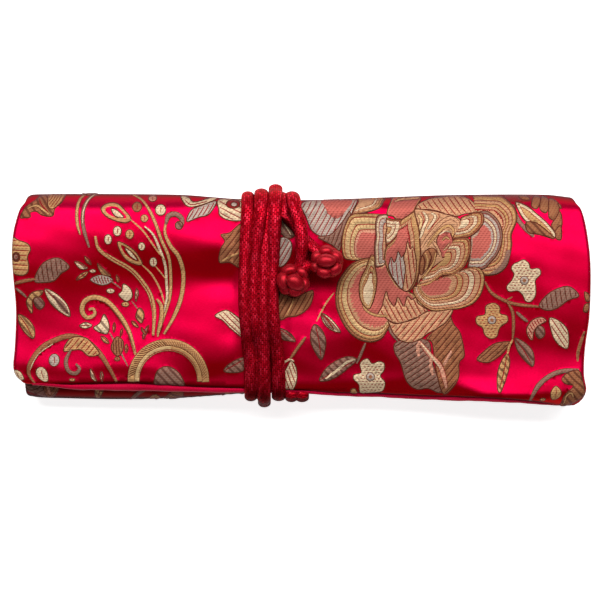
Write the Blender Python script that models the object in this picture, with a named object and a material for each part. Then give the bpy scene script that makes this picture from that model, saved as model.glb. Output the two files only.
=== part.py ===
# Jewelry roll in woven brocade, folded in three and tied with a doubled satin cord
# that ends in two button knots.
#
# Frame: +Z up, the roll lies on its back on Z = 0, +X runs along the roll, +Y to its
# top fold.  The origin is the middle of the body's base.  Working unit here is the
# millimetre; every vertex is scaled to metres when its mesh is made.
#
# Section of the folded panel, from its outer free edge:
#   front flap -> top fold -> back -> bottom fold -> inner third (free edge inside).
# The panel is cover + wadding + lining, and each third carries one flat pocket.

import math

import bmesh
import bpy
from mathutils import Vector

for old in list(bpy.data.objects):
    bpy.data.objects.remove(old)

MM = 0.001

# ---- driving dimensions (mm) -------------------------------------------------
GAP = 0.3            # clearance that touching textiles keep
T_COVER = 0.8        # brocade
T_WAD = 1.2          # wadding
T_LINING = 0.6       # satin lining
LAM = T_COVER + GAP + T_WAD + GAP + T_LINING          # one panel, 3.2
POCKET_FULL = 4.6    # a flat pocket, loosely puffed
POCKET_TIED = 0.97   # the same pocket under the cord
BACK_LIFT = 9.6      # how far the cord draws the back up off the table
CROWN = 1.0          # extra rise at the middle of the front

CORD_D = 4.0         # satin tie cord
CORD_GAP = 0.65      # cord to cloth, before the line is evened out
PITCH = CORD_D + 0.45
KNOT_R = 7.1         # button knot, as a ball

Y_SHIFT = 0.09       # centres the body's box on the origin


# ---- small numeric helpers ---------------------------------------------------
def smooth(t):
    t = max(0.0, min(1.0, t))
    return t * t * (3 - 2 * t)


def through(points, x):
    """Smooth curve through (x, value) points, flat past both ends."""
    if x <= points[0][0]:
        return points[0][1]
    if x >= points[-1][0]:
        return points[-1][1]
    for k in range(len(points) - 1):
        x0, v0 = points[k]
        x1, v1 = points[k + 1]
        if x <= x1:
            m0 = (v1 - points[k - 1][1]) / (x1 - points[k - 1][0]) if k else 0.0
            m1 = (points[k + 2][1] - v0) / (points[k + 2][0] - x0) if k + 2 < len(points) else 0.0
            h = x1 - x0
            t = (x - x0) / h
            return ((2 * t ** 3 - 3 * t ** 2 + 1) * v0 + (t ** 3 - 2 * t ** 2 + t) * h * m0
                    + (-2 * t ** 3 + 3 * t ** 2) * v1 + (t ** 3 - t ** 2) * h * m1)


# ---- the body's outline, as functions of x -----------------------------------
TOP_FOLD = [(-103, 43.1), (-74, 43.1), (-49, 42.7), (-25, 41.2), (2, 40.4),
            (20, 41.1), (39, 41.9), (63, 42.3), (104, 42.6)]
BOTTOM_FOLD = [(-103, -40.3), (-74, -40.7), (-51, -40.2), (-30, -38.6), (0, -37.0),
               (30, -38.4), (65, -39.5), (100, -40.2)]
FLAP_EDGE = [(-103, -35.0), (-87, -36.0), (-64, -37.2), (-41, -38.0), (-27, -37.6),
             (0, -38.2), (20, -40.2), (45, -41.2), (65, -41.8), (85, -42.6), (100, -43.3)]


def pinch(x):
    """1 under the cord, 0 on the two flat lobes that touch the table."""
    if x < -29:
        return smooth((x + 62) / 33)
    if x > 4:
        return smooth((46 - x) / 42)
    return 1.0


def levels(x):
    """(back, inner third's outer face, front at the top fold), and the pocket's thickness."""
    q = pinch(x)
    back = BACK_LIFT * q
    pocket = POCKET_FULL + (POCKET_TIED - POCKET_FULL) * q
    inner = back + 2 * LAM + 3 * GAP + 2 * pocket
    front = inner + 2 * GAP + pocket + LAM
    return back, inner, front, pocket


def front_z(x, y):
    """Height of the flap's outer face over the flat stretch of the front."""
    back, inner, front, _ = levels(x)
    r2 = (inner - back) / 2
    y_low = through(BOTTOM_FOLD, x) + r2
    z_low = back + r2 + r2 + LAM + 0.4
    y_top = through(TOP_FOLD, x) - (front - back) / 2
    a = max(0.0, min(1.0, (y - y_low) / (y_top - y_low)))
    return z_low + (front - z_low) * smooth(a / 0.4) + CROWN * math.sin(math.pi * a) ** 2


EDGE_ARCS = [0.0, 1.0, 2.0, 2.3, 2.6, 3.5, 4.6]   # rows that shape the flap's free edge
N_LOW, N_FRONT, N_TOP, N_BACK, N_BOTTOM, N_INNER = 2, 8, 7, 4, 6, 5
INNER_END = 27.0     # where the inner third's free edge lies


def section(x):
    """Rows (y, z) along the cover's outer face at x."""
    back, inner, front, _ = levels(x)
    r2 = (inner - back) / 2
    yc2, zc2 = through(BOTTOM_FOLD, x) + r2, back + r2
    r1 = r2 + LAM + 0.4
    edge = math.asin(max(-0.2, min(0.985, (yc2 - through(FLAP_EDGE, x)) / r1)))
    rows = []

    def on_low(arc):
        """A point that far along the cover from the flap's free edge."""
        angle = edge - arc / r1
        if angle >= 0:
            return yc2 - r1 * math.sin(angle), zc2 + r1 * math.cos(angle)
        y = yc2 - angle * r1
        return y, front_z(x, y)

    for arc in EDGE_ARCS:
        rows.append(on_low(arc))
    r3 = (front - back) / 2
    y_top, z_mid = through(TOP_FOLD, x) - r3, back + r3
    y0 = rows[-1][0]
    turn = edge - EDGE_ARCS[-1] / r1
    for k in range(1, N_LOW + 1):                      # rest of the turn over the bottom fold
        angle = turn * (1 - k / N_LOW)
        rows.append((yc2 - r1 * math.sin(angle), zc2 + r1 * math.cos(angle)) if turn > 0
                    else on_low(EDGE_ARCS[-1] + 1.5 * k))
    y0 = rows[-1][0]
    for k in range(1, N_FRONT + 1):                    # front
        y = y0 + (y_top - y0) * k / N_FRONT
        rows.append((y, front_z(x, y)))
    for k in range(1, N_TOP + 1):                      # top fold
        a = math.pi * k / N_TOP
        rows.append((y_top + r3 * math.sin(a), z_mid + r3 * math.cos(a)))
    for k in range(1, N_BACK + 1):                     # back
        rows.append((y_top + (yc2 - y_top) * k / N_BACK, back))
    for k in range(1, N_BOTTOM + 1):                   # bottom fold
        a = math.pi * k / N_BOTTOM
        rows.append((yc2 - r2 * math.sin(a), zc2 - r2 * math.cos(a)))
    for k in range(1, N_INNER + 1):                    # inner third
        t = (k / N_INNER) ** 0.8
        rows.append((yc2 + (INNER_END - yc2) * t, inner))
    return rows


ROWS = len(section(0.0))
R_TOP0 = len(EDGE_ARCS) + N_LOW + N_FRONT
R_BACK0 = R_TOP0 + N_TOP
R_BOT0 = R_BACK0 + N_BACK
R_IN0 = R_BOT0 + N_BOTTOM

LEFT_EDGE = [(-43, -111.5), (-37, -112.0), (-34, -114.0), (-30, -116.7), (-26, -117.1), (-12, -116.3),
             (0, -116.2), (12, -117.0), (19, -117.4), (27, -116.8), (33, -115.9)]
RIGHT_EDGE = [(-44, 110.5), (-41, 113.6), (-37, 115.4), (-30, 114.8), (-20, 115.2), (-8, 116.7),
              (4, 117.5), (14, 117.5), (22, 116.8), (33, 115.2)]


def ends(row):
    """(left, right) ends of the panel at a row: the folds and corners draw in."""
    if row < R_TOP0:
        y = section(-95.0)[row][0], section(95.0)[row][0]
        return through(LEFT_EDGE, y[0]), through(RIGHT_EDGE, y[1])
    if row < R_BACK0:
        a = math.pi * (row - R_TOP0) / N_TOP
        drawn = 6.6 * (1 - abs(math.cos(a)))
        return -115.6 + drawn, 115.0 - drawn
    if row < R_BOT0:
        t = (row - R_BACK0) / N_BACK
        return -115.4 + 2.6 * t, 114.8 - 0.8 * t
    if row < R_IN0:
        a = math.pi * (row - R_BOT0) / N_BOTTOM
        drawn = 4.0 * math.sin(a)
        return -112.4 + drawn, 113.6 - drawn
    return -112.6, 113.6


def frame_of(x):
    """Rows with their outward normals, in the section plane."""
    rows = section(x)
    out = []
    for k, (y, z) in enumerate(rows):
        a, b = rows[max(0, k - 1)], rows[min(ROWS - 1, k + 1)]
        t = Vector((b[0] - a[0], b[1] - a[1])).normalized()
        out.append((y, z, -t.y, t.x))
    return out


# x stations: close together at the turned ends and under the cord
SPREAD = [0.0, 1.3, 2.6]
MIDDLE = [-92.0, -62.0, -52.0, -42.0, -34.0, -28.0, -12.0, 4.0, 12.0, 22.0, 32.0, 46.0, 90.0]
STATIONS = len(SPREAD) * 2 + len(MIDDLE)


def station_x(k, row):
    left, right = ends(row)
    if k < len(SPREAD):
        return left + SPREAD[k]
    if k >= STATIONS - len(SPREAD):
        return right - SPREAD[STATIONS - 1 - k]
    return MIDDLE[k - len(SPREAD)]


def material(name, colour, roughness, metallic=0.0):
    mat = bpy.data.materials.new(name)
    mat.use_nodes = True
    shader = mat.node_tree.nodes["Principled BSDF"]
    shader.inputs["Base Color"].default_value = (*colour, 1.0)
    shader.inputs["Roughness"].default_value = roughness
    shader.inputs["Metallic"].default_value = metallic
    return mat


def finish(bm, name, mat):
    bmesh.ops.recalc_face_normals(bm, faces=bm.faces)
    mesh = bpy.data.meshes.new(name)
    bm.to_mesh(mesh)
    bm.free()
    mesh.materials.append(mat)
    mesh.shade_smooth()
    mesh.set_sharp_from_angle(angle=math.radians(40))
    obj = bpy.data.objects.new(name, mesh)
    bpy.context.scene.collection.objects.link(obj)
    obj.parent = BODY
    return obj


def skin(bm, lines_out, lines_in):
    """Closes two like grids of points into one solid, with matching diagonals."""
    grid_o = [[bm.verts.new(p) for p in line] for line in lines_out]
    grid_i = [[bm.verts.new(p) for p in line] for line in lines_in]
    n, m = len(grid_o), len(grid_o[0])
    for grid in (grid_o, grid_i):
        for i in range(n - 1):
            for j in range(m - 1):
                a, b, c, d = grid[i][j], grid[i + 1][j], grid[i + 1][j + 1], grid[i][j + 1]
                bm.faces.new((a, b, c))
                bm.faces.new((a, c, d))

    def wall(p, q, r, s):
        bm.faces.new((p, q, r))
        bm.faces.new((p, r, s))

    for i in range(n - 1):
        wall(grid_o[i][0], grid_i[i][0], grid_i[i + 1][0], grid_o[i + 1][0])
        wall(grid_o[i][-1], grid_o[i + 1][-1], grid_i[i + 1][-1], grid_i[i][-1])
    for j in range(m - 1):
        wall(grid_o[0][j], grid_o[0][j + 1], grid_i[0][j + 1], grid_i[0][j])
        wall(grid_o[-1][j], grid_i[-1][j], grid_i[-1][j + 1], grid_o[-1][j + 1])


def panel(name, mat, rows, stations, outer, inner):
    """One textile of the folded panel. outer and inner give depth below the cover's face."""
    lines = {"o": [], "i": []}
    for k in stations:
        line_o, line_i = [], []
        for r in rows:
            x = station_x(k, r)
            y, z, ny, nz = frame_of(x)[r]
            for line, depth in ((line_o, outer(k, r)), (line_i, inner(k, r))):
                line.append(Vector((x, y - ny * depth + Y_SHIFT, z - nz * depth)) * MM)
        lines["o"].append(line_o)
        lines["i"].append(line_i)
    bm = bmesh.new()
    skin(bm, lines["o"], lines["i"])
    return finish(bm, name, mat)


def pocket(name, mat, xs, ys, low, high):
    """A flat closed pocket between two height functions, thinning to its sewn edges."""
    top, bottom = [], []
    for i, x in enumerate(xs):
        line_t, line_b = [], []
        for j, y in enumerate(ys):
            z0, z1 = low(x, y), high(x, y)
            rim = i in (0, len(xs) - 1) or j in (0, len(ys) - 1)
            mid, half = (z0 + z1) / 2, (z1 - z0) / 2
            if rim:
                half = min(half, 0.35)
            line_t.append(Vector((x, y + Y_SHIFT, mid + half)) * MM)
            line_b.append(Vector((x, y + Y_SHIFT, mid - half)) * MM)
        top.append(line_t)
        bottom.append(line_b)
    bm = bmesh.new()
    skin(bm, top, bottom)
    return finish(bm, name, mat)


BODY = bpy.data.objects.new("roll_body_origin", None)
bpy.context.scene.collection.objects.link(BODY)

BROCADE = material("brocade", (0.62, 0.02, 0.08), 0.4)
WADDING = material("wadding", (0.9, 0.89, 0.86), 0.95)
SATIN = material("satin_lining", (0.62, 0.01, 0.09), 0.35)
CORD = material("cord_satin", (0.5, 0.005, 0.03), 0.45)

# ---- the folded panel --------------------------------------------------------
FIRST = 4                      # the cover starts behind the lining's rolled edge
LAST_K = STATIONS - 1


def cover_inner(k, r):
    """The cover's edges are turned in to meet the lining."""
    hem = k <= 1 or k >= LAST_K - 1 or r <= FIRST + 1 or r >= ROWS - 2
    return LAM - T_LINING - GAP if hem else T_COVER


panel("brocade_cover", BROCADE, range(FIRST, ROWS), range(STATIONS),
      lambda k, r: 0.0, cover_inner)
panel("wadding", WADDING, range(FIRST + 3, ROWS - 3), range(3, STATIONS - 3),
      lambda k, r: T_COVER + GAP, lambda k, r: LAM - T_LINING - GAP)


def lining_outer(k, r):
    """The lining rolls out past the flap's edge as a plain satin rim."""
    return {0: 1.1, 1: 0.35, 2: 0.7}.get(r, LAM - T_LINING)


panel("satin_lining", SATIN, range(0, ROWS), range(STATIONS),
      lining_outer, lambda k, r: LAM)

# ---- pockets on the three thirds ---------------------------------------------
XS = [-108.0, -104.0, -62.0, -52.0, -42.0, -34.0, -28.0, -12.0, 4.0, 12.0, 22.0, 32.0, 46.0, 104.0, 108.0]


def pocket_back_low(x, y):
    return levels(x)[0] + LAM + GAP


def pocket_back_high(x, y):
    return pocket_back_low(x, y) + levels(x)[3]


pocket("pocket_back", SATIN, XS, [-28.0, -25.0, -8.0, 8.0, 25.0, 28.0],
       pocket_back_low, pocket_back_high)
pocket("pocket_inner", SATIN, XS, [-28.0, -25.0, -8.0, 8.0, 22.0, 25.0],
       lambda x, y: pocket_back_high(x, y) + GAP,
       lambda x, y: pocket_back_high(x, y) + GAP + levels(x)[3])
pocket("pocket_flap", SATIN, XS, [-22.0, -18.0, -8.0, 2.0, 12.0, 22.0, 26.0],
       lambda x, y: levels(x)[1] + GAP,
       lambda x, y: min(front_z(x, y), front_z(x, y + 1.0), front_z(x, y - 1.0)) - LAM - GAP - 0.15)


# ---- a zip along each pocket's mouth, closed, with its slider at the right end -----
ZIP_XS = [-104.0, -62.0, -52.0, -42.0, -34.0, -28.0, -12.0, 4.0, 12.0, 22.0, 32.0, 46.0, 96.0]
ZIP_T = 0.7
METAL = material("zip_metal", (0.72, 0.56, 0.3), 0.35, 1.0)


def zip_at(name, y0, y1, mid):
    """Closed zip from y0 to y1, and the slider past its last tooth."""
    pocket("zip_" + name, SATIN, ZIP_XS, [y0, (y0 + y1) / 2, y1],
           lambda x, y: mid(x, y) - ZIP_T / 2, lambda x, y: mid(x, y) + ZIP_T / 2)
    pocket("slider_" + name, METAL, [96.3, 98.0, 101.0, 103.0], [y0 - 0.2, (y0 + y1) / 2, y1 + 0.2],
           lambda x, y: mid(x, y) - 1.1, lambda x, y: mid(x, y) + 1.1)


zip_at("back", 28.5, 31.1, lambda x, y: pocket_back_low(x, y) + levels(x)[3] / 2)
zip_at("inner", -31.1, -28.5, lambda x, y: pocket_back_high(x, y) + GAP + levels(x)[3] / 2)
zip_at("flap", 26.5, 29.1, lambda x, y: levels(x)[1] + GAP + levels(x)[3] / 2)


# ---- the tie cord ------------------------------------------------------------
# Its middle is sewn under the flap's rim at the panel's centre.  Each half goes down
# under the body, twice round it, and once more up the back under the other turns, and
# ends on the front in a button knot.  The turn round the body is told by an angle
# about CENTRE: 0 at the top fold, 90 on the front, 180 at the bottom fold, 270 behind.
CENTRE = (1.5, 15.6)
HULLS = {}


def hull_at(x):
    """Convex outline of the body at x, which a tight cord follows."""
    key = round(x, 1)
    if key not in HULLS:
        pts = sorted(set((round(y, 4), round(z, 4)) for y, z in section(key)[:R_IN0]))

        def chain(seq):
            out = []
            for p in seq:
                while len(out) > 1 and ((out[-1][0] - out[-2][0]) * (p[1] - out[-2][1])
                                        - (out[-1][1] - out[-2][1]) * (p[0] - out[-2][0])) <= 0:
                    out.pop()
                out.append(p)
            return out
        low, high = chain(pts), chain(reversed(pts))
        HULLS[key] = low[:-1] + high[:-1]
    return HULLS[key]


def far_from(hull, y, z):
    best = 1e9
    for k in range(len(hull)):
        (y0, z0), (y1, z1) = hull[k], hull[(k + 1) % len(hull)]
        dy, dz = y1 - y0, z1 - z0
        t = max(0.0, min(1.0, ((y - y0) * dy + (z - z0) * dz) / (dy * dy + dz * dz)))
        best = min(best, math.hypot(y - y0 - t * dy, z - z0 - t * dz))
    return best


def at(x, turn, lift):
    """Point on the cord's line: angle in degrees, lift above a cord that lies on the body."""
    hull = hull_at(x)
    want = CORD_D / 2 + CORD_GAP + lift
    a = math.radians(turn)
    ey, ez = math.cos(a), math.sin(a)
    lo, hi = 0.0, 90.0
    # the ray first leaves the hull, then reaches the wanted distance
    def inside(r):
        y, z = CENTRE[0] + ey * r, CENTRE[1] + ez * r
        sign = None
        for k in range(len(hull)):
            (y0, z0), (y1, z1) = hull[k], hull[(k + 1) % len(hull)]
            if (y1 - y0) * (z - z0) - (z1 - z0) * (y - y0) < 0:
                return False
        return True
    for _ in range(40):
        mid = (lo + hi) / 2
        if inside(mid) or far_from(hull, CENTRE[0] + ey * mid, CENTRE[1] + ez * mid) < want:
            lo = mid
        else:
            hi = mid
    return Vector((x, CENTRE[0] + ey * hi, CENTRE[1] + ez * hi))


# x of each strand where it passes the top, the front and the bottom, left to right
TOP_X = {"s1": -22.2, "s2": -17.7, "s3": -13.2, "s4": -8.7, "end_a": -8.7, "end_b": -4.2}
FRONT_X = {"s1": -24.6, "s2": -20.1, "s3": -15.6, "s4": -11.1}
BOTTOM_X = {"s1": -21.1, "s2": -16.6, "s3": -12.1, "s4": -7.6, "b4": -3.1, "b5": 1.4}


def y_of(turn, reach):
    """y where the cord passes at that turn, with the body's half thickness as reach."""
    a = math.radians(turn)
    return CENTRE[0] + max(-40.0, min(40.0, reach * math.cos(a) / max(0.02, abs(math.sin(a)))))


def turns(first, last, reach):
    """Turns from one fold (first) to the other (last), evenly spaced over the body."""
    out = [first + 1.5 * k for k in range(13)]
    mid = (first + last) / 2
    ys = [-29.0 + 1.4 * k for k in range(42)]
    out += [mid + math.degrees(math.atan(y / reach)) for y in ys if first + 18 < mid + math.degrees(math.atan(y / reach)) < last - 18]
    return out + [last - 18.0 + 1.5 * k for k in range(13)]


REACH = 10.5


def along_back(turn):
    """0 at the bottom fold to 1 at the top fold."""
    return through([(-33.0, 0.0), (-30.0, 0.02), (30.0, 0.98), (33.0, 1.0)], y_of(turn, REACH))


def under_lift(x, turn):
    """Lift that clears the two last strands, which run up the back under the others."""
    t = along_back(turn)
    lift = 0.0
    for x0, x1 in ((BOTTOM_X["s1"], TOP_X["end_a"]), (BOTTOM_X["s2"], TOP_X["end_b"])):
        near = abs(x - (x0 + (x1 - x0) * t)) * 0.96
        clear = PITCH + 0.15
        if near < clear:
            lift = max(lift, math.sqrt(clear * clear - near * near))
    return lift


def back_pass(x0, x1, over):
    """Up the back, from the bottom fold (180) to the top fold (360)."""
    out = []
    for turn in turns(180.0, 360.0, REACH)[1:]:
        x = x0 + (x1 - x0) * along_back(turn)
        out.append([x, turn, under_lift(x, turn) if over else 0.0])
    if over:                                           # even the lift out, never below what clears
        need = [p[2] for p in out]
        for p, n in zip(out, range(len(out))):
            window = need[max(0, n - 4):n + 5]
            p[2] = max(need[n], sum(window) / len(window))
    return out


def front_pass(name, lift_top):
    """Down the front, from the top fold (0) to the bottom fold (180)."""
    out = []
    t, f, b = TOP_X[name], FRONT_X[name], BOTTOM_X[name]
    for turn in turns(0.0, 180.0, REACH):
        y = y_of(turn, REACH)
        x = through([(-36.0, b), (-20.0, b * 0.6 + f * 0.4), (0.0, f), (22.0, t * 0.5 + f * 0.5), (36.0, t)], y)
        out.append([x, turn, lift_top * (1 - smooth((turn - 12.0) / 24.0))])
    return out


EXIT_TURN = 172.0      # where the cord leaves the rim


def half(start, loops, end):
    line = [[BOTTOM_X[start], 180.0 - (180.0 - EXIT_TURN) * (1 - k / 4), 0.0] for k in range(4)]
    line += [[BOTTOM_X[start], 180.0, 0.0]]
    x = BOTTOM_X[start]
    for name in loops:
        lift = LIFT_TOP[name]
        line += back_pass(x, TOP_X[name], True)
        if line[-1][2] < lift:
            n = 12
            for k in range(1, n):
                line[-k][2] = max(line[-k][2], lift * (1 - smooth((k - 1) / n)))
        line += front_pass(name, max(lift, line[-1][2]))
        x = BOTTOM_X[name]
    line += back_pass(x, TOP_X[end], False)
    return [at(*p) for p in line]


LIFT_TOP = {"s1": 0.0, "s2": 0.0, "s3": 0.0, "s4": PITCH}


def rounded(points, keep=6, times=4):
    """Evens a line out, without moving its first points or its end."""
    pts = [p.copy() for p in points]
    for _ in range(times):
        pts = pts[:keep] + [(pts[k - 1] + pts[k] * 2 + pts[k + 1]) / 4 for k in range(keep, len(pts) - 1)] + pts[-1:]
    return pts


def spline_through(points, step=1.0):
    """Catmull-Rom points through a short list of points."""
    out = []
    for k in range(len(points) - 1):
        p0 = points[max(0, k - 1)]
        p1, p2 = points[k], points[k + 1]
        p3 = points[min(len(points) - 1, k + 2)]
        n = max(2, int((p2 - p1).length / step))
        for j in range(n):
            t = j / n
            out.append(((2 * p1) + (p2 - p0) * t + (2 * p0 - 5 * p1 + 4 * p2 - p3) * t * t
                        + (3 * p1 - p0 - 3 * p2 + p3) * t ** 3) / 2)
    out.append(points[-1].copy())
    return out


def thinned(points, within):
    """Fewest of the points that keep the line within that distance."""
    keep = [0]
    k = 0
    while k < len(points) - 1:
        j = k + 2
        while j < len(points):
            a, b = points[k], points[j]
            ab = b - a
            worst = max(((p - a) - ab * ((p - a).dot(ab) / ab.length_squared)).length for p in points[k + 1:j])
            if worst > within or ab.length > 13.0:
                break
            j += 1
        k = j - 1
        keep.append(k)
    return [points[k] for k in keep]


def on_front(x, y, above):
    return Vector((x, y, front_z(x, y) + above))


KNOT_B = on_front(-2.9, 8.3, KNOT_R + GAP)     # lower left knot, on the strand that shows in front
KNOT_A = on_front(10.4, 15.4, KNOT_R + GAP)    # upper right knot
LIE = CORD_D / 2 + CORD_GAP

# from the top fold each end runs down the front to its knot; end_a goes under end_b
def over_top(x0, x1, lift0, lift1):
    """The last strand over the top fold, from its outermost line to the front."""
    return [at(x0 + (x1 - x0) * k / 12, 1.5 * k, lift0 + (lift1 - lift0) * smooth(k / 12)) for k in range(1, 13)]


TAIL_A = over_top(TOP_X["end_a"], -5.0, 0.0, 0.0) + [
    on_front(-3.0, 31.0, LIE), on_front(-0.2, 28.0, LIE),
    on_front(2.8, 25.6, LIE + 0.6), Vector((5.2, 23.6, KNOT_A.z - 3.4))]
TAIL_B = over_top(TOP_X["end_b"], -0.9, 0.0, 3.4) + [
    on_front(0.1, 30.4, LIE + 4.6), on_front(0.6, 25.4, LIE + 4.8),
    on_front(0.6, 20.6, LIE + 4.4), Vector((0.2, 16.9, KNOT_B.z - 1.2))]


def to_knot(line, tail, knot):
    pts = rounded(line + spline_through([line[-1]] + tail, 1.2)[1:])
    way = (knot - pts[-1]).normalized()
    end = knot - way * (KNOT_R + GAP + 0.2)
    return pts[:-1] + [end] if (end - pts[-2]).dot(way) > 0 else pts[:-2] + [end]


def add_cord(name, points):
    pts = thinned(points, 0.11)
    curve = bpy.data.curves.new(name, "CURVE")
    curve.dimensions = "3D"
    curve.bevel_depth = CORD_D / 2 * MM
    curve.bevel_resolution = 2
    curve.use_fill_caps = True
    spline = curve.splines.new("POLY")
    spline.points.add(len(pts) - 1)
    for point, p in zip(spline.points, pts):
        point.co = (p.x * MM, (p.y + Y_SHIFT) * MM, p.z * MM, 1.0)
    curve.materials.append(CORD)
    obj = bpy.data.objects.new(name, curve)
    bpy.context.scene.collection.objects.link(obj)
    obj.parent = BODY
    return sum((points[k + 1] - points[k]).length for k in range(len(points) - 1)), len(pts)


LINE_A = to_knot(half("b4", ["s3", "s1"], "end_a"), TAIL_A, KNOT_A)
LINE_B = to_knot(half("b5", ["s4", "s2"], "end_b"), TAIL_B, KNOT_B)
print("cord a", add_cord("tie_cord_a", LINE_A))
print("cord b", add_cord("tie_cord_b", LINE_B))


# ---- button knots ------------------------------------------------------------
def knot(name, centre, around, tip):
    """A woven ball: a sphere with the eight lobes that the crossings raise."""
    bm = bmesh.new()
    bmesh.ops.create_uvsphere(bm, u_segments=24, v_segments=14, radius=1.0)
    for v in bm.verts:
        d = v.co.normalized()
        lon, lat = math.atan2(d.y, d.x), math.asin(max(-1.0, min(1.0, d.z)))
        lobe = 0.5 + 0.5 * math.cos(4 * lon + (0 if lat > 0 else math.pi)) * math.sin(2 * min(abs(lat), math.pi / 2))
        v.co = d * (KNOT_R - 0.55 + 0.55 * lobe) * MM
    mesh = bpy.data.meshes.new(name)
    bmesh.ops.triangulate(bm, faces=bm.faces)
    bm.to_mesh(mesh)
    bm.free()
    mesh.materials.append(CORD)
    mesh.shade_smooth()
    obj = bpy.data.objects.new(name, mesh)
    bpy.context.scene.collection.objects.link(obj)
    obj.parent = BODY
    obj.rotation_euler = (math.radians(tip), 0.0, math.radians(around))
    obj.location = (centre.x * MM, (centre.y + Y_SHIFT) * MM, centre.z * MM)
    return obj


knot("button_knot_a", KNOT_A, 35.0, 50.0)
knot("button_knot_b", KNOT_B, -20.0, 60.0)
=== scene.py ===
import math

import bpy
import numpy as np
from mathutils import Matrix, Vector
from mathutils.geometry import delaunay_2d_cdt


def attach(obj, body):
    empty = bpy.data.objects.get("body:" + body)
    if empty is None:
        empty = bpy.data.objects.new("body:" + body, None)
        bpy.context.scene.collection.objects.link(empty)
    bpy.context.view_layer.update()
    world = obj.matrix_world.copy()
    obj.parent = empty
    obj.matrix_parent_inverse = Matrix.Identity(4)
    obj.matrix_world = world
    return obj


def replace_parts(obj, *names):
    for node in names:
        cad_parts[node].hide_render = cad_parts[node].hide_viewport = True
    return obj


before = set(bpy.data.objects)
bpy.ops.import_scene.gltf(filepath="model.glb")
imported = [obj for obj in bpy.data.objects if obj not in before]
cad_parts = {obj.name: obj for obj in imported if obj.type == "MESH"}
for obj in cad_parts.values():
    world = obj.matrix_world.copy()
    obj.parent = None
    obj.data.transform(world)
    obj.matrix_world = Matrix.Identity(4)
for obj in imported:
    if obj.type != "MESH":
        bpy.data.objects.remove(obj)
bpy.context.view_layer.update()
MM = 0.001
PX = 0.4066                     # millimetres per pixel of the photographed view
rng = np.random.default_rng(7)


def X_OF(px):
    return (np.asarray(px, float) - 301.0) * PX


def Y_OF(py):
    return (300.5 - np.asarray(py, float)) * PX - 0.09


# ---- outline and section -----------------------------------------------------
def table(points):
    """Smooth curve through (x, value) points, as a fast table, flat past both ends."""
    p = np.array(points, float)
    x, v = p[:, 0], p[:, 1]
    m = np.zeros(len(x))
    m[1:-1] = (v[2:] - v[:-2]) / (x[2:] - x[:-2])
    m[0], m[-1] = (v[1] - v[0]) / (x[1] - x[0]) * 0.5, (v[-1] - v[-2]) / (x[-1] - x[-2]) * 0.5
    xs = np.linspace(x[0], x[-1], 900)
    k = np.clip(np.searchsorted(x, xs, side="right") - 1, 0, len(x) - 2)
    h = x[k + 1] - x[k]
    t = (xs - x[k]) / h
    vs = ((2 * t ** 3 - 3 * t ** 2 + 1) * v[k] + (t ** 3 - 2 * t ** 2 + t) * h * m[k]
          + (-2 * t ** 3 + 3 * t ** 2) * v[k + 1] + (t ** 3 - t ** 2) * h * m[k + 1])
    return lambda q: np.interp(q, xs, vs)


def smooth(t):
    t = np.clip(t, 0.0, 1.0)
    return t * t * (3 - 2 * t)


T_COVER, LAM = 0.8, 3.2
GAP, POCKET_FULL, POCKET_TIED, BACK_LIFT, CROWN = 0.3, 4.6, 0.97, 9.6, 1.0

top_fold = table([(-114, 42.3), (-108, 43.0), (-74, 43.1), (-49, 42.7), (-33, 41.5), (-25, 41.0), (2, 40.6),
                  (20, 41.1), (39, 41.9), (63, 42.7), (100, 42.8), (112, 41.6)])
bottom_fold = table([(-114, -39.0), (-108, -39.9), (-97, -40.3), (-74, -40.7), (-51, -40.2), (-38, -39.3), (-28, -38.4),
                     (0, -37.2), (30, -38.4), (65, -39.5), (100, -40.2)])
flap_edge = table([(-111, -34.4), (-103, -35.2), (-95, -36.2), (-87, -36.6), (-64, -37.0), (-41, -37.6), (-27, -37.8),
                   (-6, -38.1), (4, -38.5), (14, -39.4), (29, -40.2), (45, -41.0), (62, -41.5), (78, -42.0), (90, -42.6), (103, -43.2), (112, -43.3)])
left_edge = table([(-43, -109.5), (-40, -110.3), (-36.5, -110.9), (-33.2, -113.8), (-30.5, -116.2), (-27, -117.1), (-21, -116.6), (-12, -116.2),
                   (-2, -116.1), (8, -116.9), (14, -117.3), (19.5, -117.5), (27, -117.0), (33, -115.8), (38, -114.4), (41, -112.5)])
right_edge = table([(-45, 111.0), (-43, 112.6), (-41, 114.6), (-37, 115.9), (-30, 115.0), (-20, 115.5), (-8, 117.0),
                    (4, 117.6), (14, 117.6), (22, 117.0), (33, 115.4), (38, 114.0), (41, 112.2)])


def levels(x):
    """Heights (back, inner third, front at the top fold) and the pocket's thickness."""
    q = np.where(x < -12, smooth((x + 62) / 33), smooth((46 - x) / 42))
    back = BACK_LIFT * q
    pocket = POCKET_FULL + (POCKET_TIED - POCKET_FULL) * q
    inner = back + 2 * LAM + 3 * GAP + 2 * pocket
    front = inner + 2 * GAP + pocket + LAM
    return back, inner, front, pocket


def radii(x):
    back, inner, front, _ = levels(x)
    r2 = (inner - back) / 2
    r1 = r2 + LAM + 0.4
    r3 = (front - back) / 2
    return back, inner, front, r1, r2, r3, bottom_fold(x) + r2, back + r2, top_fold(x) - r3, back + r3


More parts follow.
